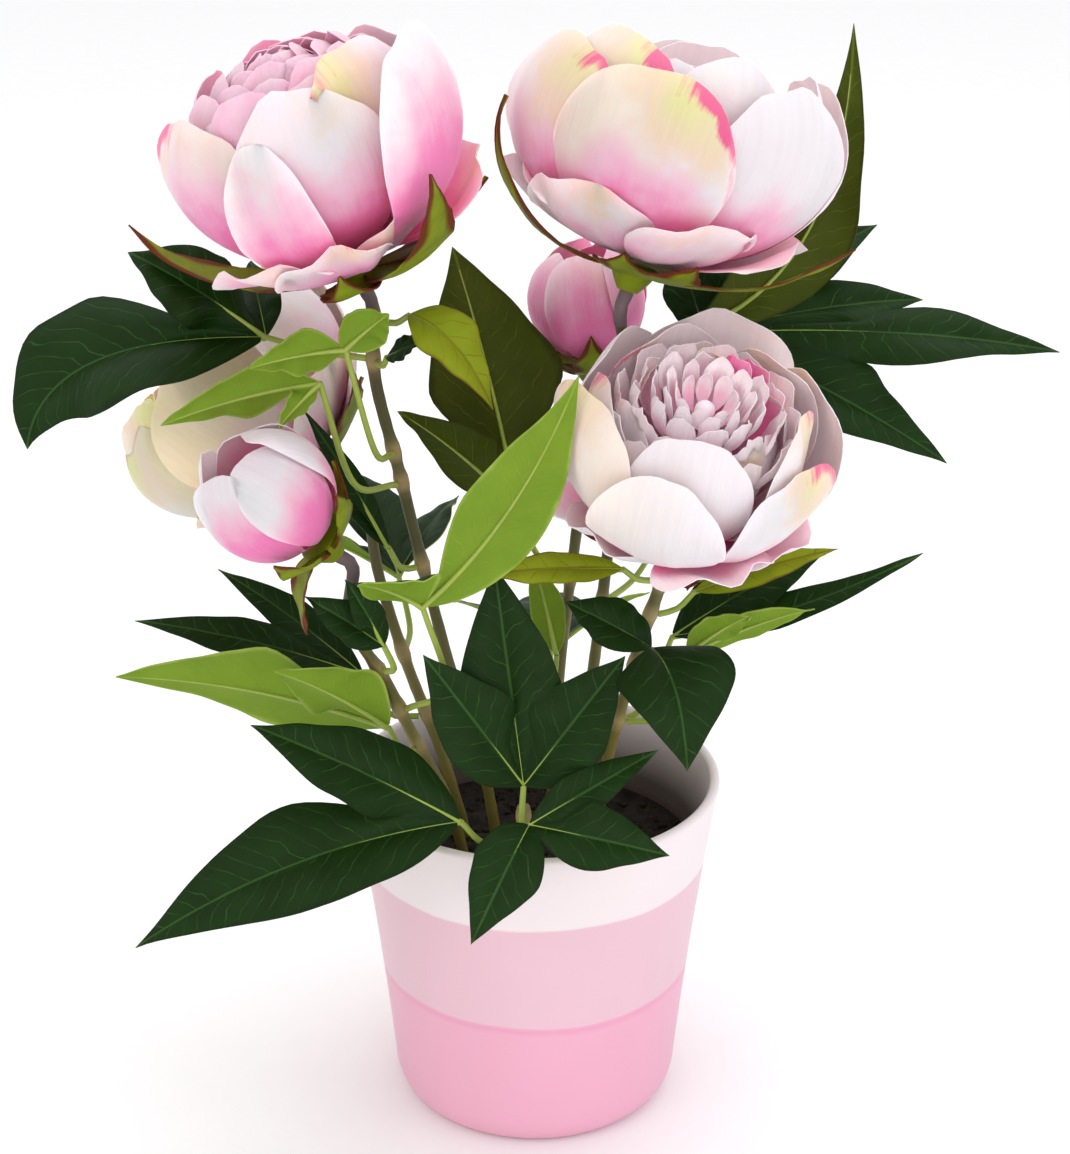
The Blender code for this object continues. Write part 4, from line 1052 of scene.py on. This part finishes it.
def finish(name, **constants):
    """A new material, with the values that are the same all over it"""
    look = bpy.data.materials.new(name)
    look.use_nodes = True
    shader = look.node_tree.nodes["Principled BSDF"]
    for socket, value in constants.items():
        shader.inputs[socket.replace("_", " ")].default_value = value
    return look


def add(look, kind, inputs, **settings):
    """Adds a node to a material with its settings and what goes into it; gives what comes out

    Inputs go by name or by number. A map range's 0 is its value, 1 and 2 the range it comes from,
    3 and 4 the range it goes to. A mix's 0 is its share, 6 and 7 are its two colours.
    """
    node = look.node_tree.nodes.new("ShaderNode" + kind)
    for key, value in settings.items():
        setattr(node, key, value)
    for key, value in inputs.items():
        if isinstance(value, bpy.types.NodeSocket):
            look.node_tree.links.new(value, node.inputs[key])
        else:
            node.inputs[key].default_value = value
    return node.outputs


def wire(look, **values):
    """Links what the nodes made to the shader's own sockets"""
    shader = look.node_tree.nodes["Principled BSDF"]
    for socket, value in values.items():
        look.node_tree.links.new(value, shader.inputs[socket.replace("_", " ")])


def printed_satin(name, undyed, glow, glow_depth):
    """Heat-set polyester satin, sprayed with dye: soft, matt, with fine folds along each petal"""
    look = finish(name, Roughness=0.58, Sheen_Weight=0.25, Sheen_Roughness=0.4,
                  Subsurface_Weight=glow, Subsurface_Scale=glow_depth, IOR=1.5)
    look.node_tree.nodes["Principled BSDF"].inputs["Subsurface Radius"].default_value = (1, 0.7, 0.8)
    place = add(look, "TexCoord", {})
    # Streaks 2 mm wide on a petal of 70 mm, and clouds of dye about 10 mm across
    streaks = add(look, "Mapping", {"Vector": place["UV"], "Scale": (34, 1.6, 1)})
    streak = add(look, "TexNoise", {"Vector": streaks[0], "Scale": 1.0, "Detail": 3})["Fac"]
    cloud = add(look, "TexNoise", {"Vector": place["Object"], "Scale": 95, "Detail": 3})["Fac"]
    # Creases of the heated mould, about 7 mm apart on such a petal
    folds = add(look, "Mapping", {"Vector": place["UV"], "Scale": (10, 1.2, 1)})
    fold = add(look, "TexNoise", {"Vector": folds[0], "Scale": 1.0, "Detail": 4,
                                  "Distortion": 0.6})["Fac"]
    shown = colour(undyed)
    layers = (("cream", "#FCE6D6", 0.0, 1.0, 0.04), ("cream", "#FADFA6", 0.8, 1.9, 0.04),
              ("blush", "#FFB4D2", 0.02, 0.60, 0.04),
              ("blush", "#FF6CAE", 0.44, 1.00, 0.04), ("lime", "#F8D2B4", 0.02, 0.40, 0.04),
              ("lime", "#E8E08C", 0.30, 0.95, 0.04), ("brush", "#F0467E", 0.20, 0.65, 0.16))
    for mask, code, low, high, ragged_by in layers:
        strength = add(look, "Attribute", {}, attribute_name=mask)["Fac"]
        uneven = add(look, "MapRange", {0: cloud, 1: 0.3, 2: 0.7, 3: -0.10, 4: 0.10})[0]
        brushed = add(look, "MapRange", {0: streak, 1: 0.3, 2: 0.7, 3: -ragged_by, 4: ragged_by})[0]
        ragged = add(look, "Math", {0: uneven, 1: brushed}, operation="ADD")[0]
        dyed = add(look, "Math", {0: ragged, 1: strength}, operation="ADD")[0]
        some = add(look, "MapRange", {0: strength, 1: 0.0, 2: 0.12, 3: 0.0, 4: 1.0})[0]
        share = add(look, "MapRange", {0: dyed, 1: low, 2: high, 3: 0.0, 4: 1.0},
                    interpolation_type="SMOOTHSTEP")[0]
        held = add(look, "Math", {0: share, 1: some}, operation="MULTIPLY")[0]
        shown = add(look, "Mix", {0: held, 6: shown, 7: colour(code)}, data_type="RGBA")[2]
    shade = add(look, "MapRange", {0: streak, 1: 0.3, 2: 0.7, 3: 0.965, 4: 1.015})[0]
    worn = add(look, "VectorMath", {0: shown, "Scale": shade}, operation="SCALE")[0]
    dull = add(look, "MapRange", {0: streak, 1: 0.3, 2: 0.7, 3: 0.5, 4: 0.68})[0]
    # Threads 0.7 mm apart, coarser than real ones so that they show
    threads = add(look, "TexNoise", {"Vector": place["Object"], "Scale": 1500, "Detail": 1})["Fac"]
    fine = add(look, "Bump", {"Height": threads, "Strength": 0.08, "Distance": 0.0003})[0]
    relief = add(look, "Bump", {"Height": fold, "Strength": 0.4, "Distance": 0.0014,
                                "Normal": fine})[0]
    wire(look, Base_Color=worn, Roughness=dull, Normal=relief)
    return look


def veined_cloth(name, dark, light, vein, edge, roughness, strength):
    """Polyester leaf cloth, printed with side veins 7 mm apart, pressed over a wire rib

    Blots are about 22 mm across, and threads 0.6 mm apart, coarser than real ones to show.
    """
    look = finish(name, Roughness=roughness, IOR=1.45, Specular_IOR_Level=0.12)
    place = add(look, "TexCoord", {})["UV"]
    both = add(look, "SeparateXYZ", {0: place})
    out = add(look, "Math", {0: both["X"]}, operation="ABSOLUTE")[0]
    # The veins wander a little, over 11 mm, and their print is faint here and there, over 7 mm
    bend = add(look, "TexNoise", {"Vector": place, "Scale": 9, "Detail": 2})["Fac"]
    side = add(look, "Math", {0: both["X"], 1: 0.0}, operation="GREATER_THAN")[0]
    run = add(look, "Math", {0: out, 1: -0.95, 2: both["Y"]}, operation="MULTIPLY_ADD")[0]
    run = add(look, "Math", {0: side, 1: 0.031, 2: run}, operation="MULTIPLY_ADD")[0]
    run = add(look, "Math", {0: bend, 1: 0.09, 2: run}, operation="MULTIPLY_ADD")[0]
    apart = add(look, "Math", {0: run, 1: 0.035}, operation="PINGPONG")[0]
    line = add(look, "MapRange", {0: apart, 1: 0.0, 2: 0.0045, 3: 1.0, 4: 0.0},
               interpolation_type="SMOOTHSTEP")[0]
    patch = add(look, "TexNoise", {"Vector": place, "Scale": 14, "Detail": 1})["Fac"]
    broken = add(look, "MapRange", {0: patch, 1: 0.38, 2: 0.62, 3: 0.15, 4: 1.0})[0]
    margin = add(look, "Attribute", {}, attribute_name="margin")["Fac"]
    ended = add(look, "MapRange", {0: margin, 1: 0.55, 2: 1.0, 3: 1.0, 4: 0.15})[0]
    line = add(look, "Math", {0: line, 1: broken}, operation="MULTIPLY")[0]
    line = add(look, "Math", {0: line, 1: ended}, operation="MULTIPLY")[0]
    rib = add(look, "MapRange", {0: out, 1: 0.002, 2: 0.007, 3: 1.0, 4: 0.0},
              interpolation_type="SMOOTHSTEP")[0]
    veins = add(look, "Math", {0: line, 1: rib}, operation="MAXIMUM")[0]
    printed = add(look, "Math", {0: veins, 1: strength}, operation="MULTIPLY")[0]
    blot = add(look, "TexNoise", {"Vector": place, "Scale": 4.5, "Detail": 4})["Fac"]
    ground = add(look, "Mix", {0: blot, 6: colour(dark), 7: colour(light)}, data_type="RGBA")[2]
    stained = add(look, "Math", {0: blot, 1: 0.5, 2: margin}, operation="MULTIPLY_ADD")[0]
    rim = add(look, "MapRange", {0: stained, 1: 1.12, 2: 1.30, 3: 0.0, 4: 0.8},
              interpolation_type="SMOOTHSTEP")[0]
    ground = add(look, "Mix", {0: rim, 6: ground, 7: colour(edge)}, data_type="RGBA")[2]
    shown = add(look, "Mix", {0: printed, 6: ground, 7: colour(vein)}, data_type="RGBA")[2]
    threads = add(look, "TexNoise", {"Vector": place, "Scale": 170, "Detail": 1})["Fac"]
    fine = add(look, "Bump", {"Height": threads, "Strength": 0.10, "Distance": 0.0003})[0]
    relief = add(look, "Bump", {"Height": veins, "Strength": 0.5, "Distance": 0.0006,
                                "Normal": fine})[0]
    puffed = add(look, "Bump", {"Height": apart, "Strength": 0.12, "Distance": 0.02,
                                "Normal": relief})[0]
    wire(look, Base_Color=shown, Normal=puffed)
    return look


def rusty_cloth():
    """Olive cloth of sepals, in clouds 8 mm across, singed red-brown along its cut edges

    Its threads are 0.7 mm apart, coarser than real ones to show.
    """
    look = finish("singed olive cloth", Roughness=0.6, IOR=1.45, Specular_IOR_Level=0.2)
    place = add(look, "TexCoord", {})
    rust = add(look, "Attribute", {}, attribute_name="rust")["Fac"]
    cloud = add(look, "TexNoise", {"Vector": place["Object"], "Scale": 130, "Detail": 3})["Fac"]
    green = add(look, "Mix", {0: cloud, 6: colour("#8A9A14"), 7: colour("#4A5A10")},
                data_type="RGBA")[2]
    edge = add(look, "MapRange", {0: rust, 1: 0.1, 2: 0.85, 3: 0.0, 4: 1.0})[0]
    shown = add(look, "Mix", {0: edge, 6: green, 7: colour("#5E2A0C")}, data_type="RGBA")[2]
    threads = add(look, "TexNoise", {"Vector": place["Object"], "Scale": 1400})["Fac"]
    relief = add(look, "Bump", {"Height": threads, "Strength": 0.15, "Distance": 0.0003})[0]
    wire(look, Base_Color=shown, Normal=relief)
    return look


def moulded_stem():
    """Polyethylene stem, brushed with brown and tan over olive; the knots are paler

    The brushed patches are about 17 mm long and the grain is of 2 mm.
    """
    look = finish("moulded polyethylene stem", Roughness=0.5, IOR=1.51)
    place = add(look, "TexCoord", {})["Object"]
    height = add(look, "SeparateXYZ", {0: place})["Z"]
    cloud = add(look, "TexNoise", {"Vector": place, "Scale": 60, "Detail": 4})["Fac"]
    low = add(look, "MapRange", {0: height, 1: 0.14, 2: 0.22, 3: 1.0, 4: 0.0})[0]
    green = add(look, "Mix", {0: cloud, 6: colour("#525A20"), 7: colour("#3E2C1A")},
                data_type="RGBA")[2]
    tan = add(look, "Mix", {0: cloud, 6: colour("#8A7A3A"), 7: colour("#5A5A20")},
              data_type="RGBA")[2]
    ground = add(look, "Mix", {0: low, 6: green, 7: tan}, data_type="RGBA")[2]
    knot = add(look, "Attribute", {}, attribute_name="knot")["Fac"]
    shown = add(look, "Mix", {0: knot, 6: ground, 7: colour("#A08C5C")}, data_type="RGBA")[2]
    grain = add(look, "TexNoise", {"Vector": place, "Scale": 420, "Detail": 2})["Fac"]
    relief = add(look, "Bump", {"Height": grain, "Strength": 0.3, "Distance": 0.0005})[0]
    wire(look, Base_Color=shown, Normal=relief)
    return look


def soft_plastic(name, dark, light, roughness):
    """Soft moulded plastic of stalks, ribs and collars, in faint clouds 7 mm across"""
    look = finish(name, Roughness=roughness, IOR=1.51)
    place = add(look, "TexCoord", {})["Object"]
    cloud = add(look, "TexNoise", {"Vector": place, "Scale": 150, "Detail": 3})["Fac"]
    shown = add(look, "Mix", {0: cloud, 6: colour(dark), 7: colour(light)}, data_type="RGBA")[2]
    relief = add(look, "Bump", {"Height": cloud, "Strength": 0.2, "Distance": 0.0004})[0]
    wire(look, Base_Color=shown, Normal=relief)
    return look


def satin_glaze():
    """Stoneware dipped three times: ivory rim, pale pink and pink below, with soft glaze lines"""
    look = finish("satin stoneware glaze", IOR=1.5, Coat_Weight=0.12, Coat_Roughness=0.3)
    place = add(look, "TexCoord", {})["Object"]
    height = add(look, "SeparateXYZ", {0: place})["Z"]
    # The edges of the dips wander a little, over about 45 mm
    drift = add(look, "TexNoise", {"Vector": place, "Scale": 22, "Detail": 2})["Fac"]
    moved = add(look, "MapRange", {0: drift, 1: 0.3, 2: 0.7, 3: -0.0006, 4: 0.0006})[0]
    level = add(look, "Math", {0: height, 1: moved}, operation="ADD")[0]
    low = add(look, "MapRange", {0: level, 1: BAND_LOW - BAND_LOW_BLUR, 2: BAND_LOW + BAND_LOW_BLUR},
              interpolation_type="SMOOTHSTEP")[0]
    high = add(look, "MapRange", {0: level, 1: BAND_HIGH - BAND_HIGH_BLUR,
                                  2: BAND_HIGH + BAND_HIGH_BLUR},
               interpolation_type="SMOOTHSTEP")[0]
    shown = add(look, "Mix", {0: low, 6: colour("#DEA2B8"), 7: colour("#DAB4C1")},
                data_type="RGBA")[2]
    # A darker line where the third dip laps over the second
    off = add(look, "Math", {0: level, 1: BAND_LOW - 0.0016}, operation="SUBTRACT")[0]
    apart = add(look, "Math", {0: off}, operation="ABSOLUTE")[0]
    lap = add(look, "MapRange", {0: apart, 1: 0.0, 2: 0.0024, 3: 0.45, 4: 0.0},
              interpolation_type="SMOOTHSTEP")[0]
    shown = add(look, "Mix", {0: lap, 6: shown, 7: colour("#D98AAA")}, data_type="RGBA")[2]
    shown = add(look, "Mix", {0: high, 6: shown, 7: colour("#E2D7DA")}, data_type="RGBA")[2]
    # Slightly paler and duller in clouds about 110 mm across
    cloud = add(look, "TexNoise", {"Vector": place, "Scale": 9, "Detail": 4})["Fac"]
    tone = add(look, "MapRange", {0: cloud, 1: 0.3, 2: 0.7, 3: 0.965, 4: 1.02})[0]
    fired = add(look, "VectorMath", {0: shown, "Scale": tone}, operation="SCALE")[0]
    # Inside, the wall is darkened to brown from under the rim down, as painted shade in the hollow
    inside = add(look, "Attribute", {}, attribute_name="inside")["Fac"]
    start, end = (POT_HEIGHT - depth for depth in INSIDE_SHADE_DEPTHS)
    deep = add(look, "MapRange", {0: level, 1: start, 2: end, 3: 0.0, 4: 0.9})[0]
    painted_inside_shade = add(look, "Math", {0: inside, 1: deep}, operation="MULTIPLY")[0]
    fired = add(look, "Mix", {0: painted_inside_shade, 6: fired, 7: colour("#3A2C22")}, data_type="RGBA")[2]
    dull = add(look, "MapRange", {0: cloud, 1: 0.3, 2: 0.7, 3: 0.34, 4: 0.46})[0]
    # Throwing lines about 5 mm apart, much softened by the glaze
    rings = add(look, "Mapping", {"Vector": place, "Scale": (1, 1, 200)})[0]
    ring = add(look, "TexNoise", {"Vector": rings, "Scale": 1.0, "Detail": 2})["Fac"]
    relief = add(look, "Bump", {"Height": ring, "Strength": 0.12, "Distance": 0.0008})[0]
    wire(look, Base_Color=fired, Roughness=dull, Normal=relief)
    return look


def dark_filler():
    """Near-black foam crumb that looks like wet soil: rough, in bits of 4 mm, with hardly any gloss"""
    look = finish("dark foam crumb", Roughness=0.95, IOR=1.45)
    place = add(look, "TexCoord", {})["Object"]
    crumbs = add(look, "TexNoise", {"Vector": place, "Scale": 260, "Detail": 5})["Fac"]
    shown = add(look, "Mix", {0: crumbs, 6: colour("#0A0705"), 7: colour("#2A1E17")},
                data_type="RGBA")[2]
    relief = add(look, "Bump", {"Height": crumbs, "Strength": 0.8, "Distance": 0.002})[0]
    wire(look, Base_Color=shown, Normal=relief)
    return look


def white_paper():
    """Seamless studio paper: matt and nearly white, in faint clouds 17 mm across"""
    look = finish("seamless white paper", Roughness=0.9)
    place = add(look, "TexCoord", {})["Object"]
    grain = add(look, "TexNoise", {"Vector": place, "Scale": 60, "Detail": 2})["Fac"]
    shown = add(look, "Mix", {0: grain, 6: colour("#F6F6F7"), 7: colour("#F9F9F9")},
                data_type="RGBA")[2]
    wire(look, Base_Color=shown)
    return look


def soft_box(name, place, aim, size, power, tint):
    """A round soft lamp of so many watts, that shines from a place at another"""
    lamp = bpy.data.lights.new(name, "AREA")
    lamp.shape = "DISK"
    lamp.size = size
    lamp.energy = power
    lamp.color = colour(tint)[:3]
    box = show(name, lamp)
    box.location = place
    box.rotation_euler = (Vector(aim) - Vector(place)).to_track_quat("-Z", "Y").to_euler()


def make_studio():
    """Floor, light and the camera"""
    bpy.context.scene.view_settings.view_transform = "Standard"
    paper = bpy.data.meshes.new("paper_floor")
    edge = FLOOR_HALF
    paper.from_pydata([(-edge, -edge, 0), (edge, -edge, 0), (edge, edge, 0), (-edge, edge, 0)],
                      [], [(0, 1, 2, 3)])
    paper.materials.append(white_paper())
    floor = show("paper_floor", paper)
    world = bpy.data.worlds.new("studio")
    world.use_nodes = True
    sky = world.node_tree.nodes["Background"].inputs
    sky["Color"].default_value = colour("#FBFBFC")
    sky["Strength"].default_value = SKY_STRENGTH
    bpy.context.scene.world = world
    soft_box("window_left", (-1.1, -1.1, 1.25), PLANT_MIDDLE, 1.1, 2.4, "#FFF6F0")
    soft_box("low_fill", (0.15, -1.25, 0.36), BLOOM_FRONT, 0.9, 3.8, "#FFFAF8")
    soft_box("window_right", (1.3, -0.6, 0.9), PLANT_MIDDLE, 1.0, 2.2, "#F2F4FF")
    soft_box("ceiling", (0.1, 0.3, 1.7), PLANT_MIDDLE, 1.4, 8, "#FFFFFF")
    lens = bpy.data.cameras.new("camera")
    lens.lens = LENS
    camera = show("camera", lens)
    camera.location = CAMERA_PLACE
    camera.rotation_euler = (math.radians(CAMERA_TILT), 0, 0)
    bpy.context.scene.camera = camera


def main():
    """Makes the finishes, the pieces and the studio"""
    satin = printed_satin("printed satin petals", "#F2E8F0", 0.55, 0.006)
    # The hollow side is painted paler and a little warmer, as painted light against the shade deep in
    # the blooms, and light goes less deep into it
    satin_inside_painted_light = printed_satin("printed satin, hollow side painted lighter against shade", "#FFF0F2", 0.15, 0.003)
    sepal_cloth = rusty_cloth()
    stem_plastic = moulded_stem()
    collar_tape = soft_plastic("collar tape", "#4E3E40", "#76666A", 0.7)
    stalk_plastic = soft_plastic("pale green stalk plastic", "#7C9434", "#A0B048", 0.5)
    dark_side = veined_cloth("dark leaf cloth", "#0A1C04", "#1C3A0E", "#4A7236", "#0E2206", 0.5, 0.36)
    pale_side = veined_cloth("pale leaf underside", "#5E7C20", "#7C982C", "#8FA844", "#98AC50", 0.65,
                             0.4)
    # Olive cloth is the light green underside darkened with painted shade
    olive_painted_shade_side = veined_cloth("leaf underside darkened olive for shade", "#2C3A08", "#4C5612", "#6E7A28", "#2A2C08", 0.55,
                              0.5)
    bract_side = veined_cloth("singed bract cloth", "#6C7C14", "#8C981C", "#6A4416", "#5E3210", 0.55,
                              0.4)
    make_pot(satin_glaze())
    make_soil(dark_filler())
    paths = {name: stem_path(name) for name in STEMS}
    for name, path in paths.items():
        make_stem(name, path, stem_plastic, collar_tape)
    for name, head in HEADS.items():
        kind = "bud" if head.rings is BUD_RINGS else "bloom"
        make_bloom(name, f"{kind}_{name}", head, [satin, satin_inside_painted_light])
        make_calyx(name, head, sepal_cloth)
    for seed, (name, leaf) in enumerate(LEAVES.items()):
        sides = [dark_side, pale_side]
        # These leaves get the olive cloth of painted shade on both sides
        if name in SHADED_OLIVE_LEAVES:
            sides = [olive_painted_shade_side, olive_painted_shade_side]
        if "bract" in name:
            sides = [bract_side, bract_side]
        make_leaf(name, leaf, paths[leaf.stem], seed, [*sides, stalk_plastic])
    make_studio()


main()
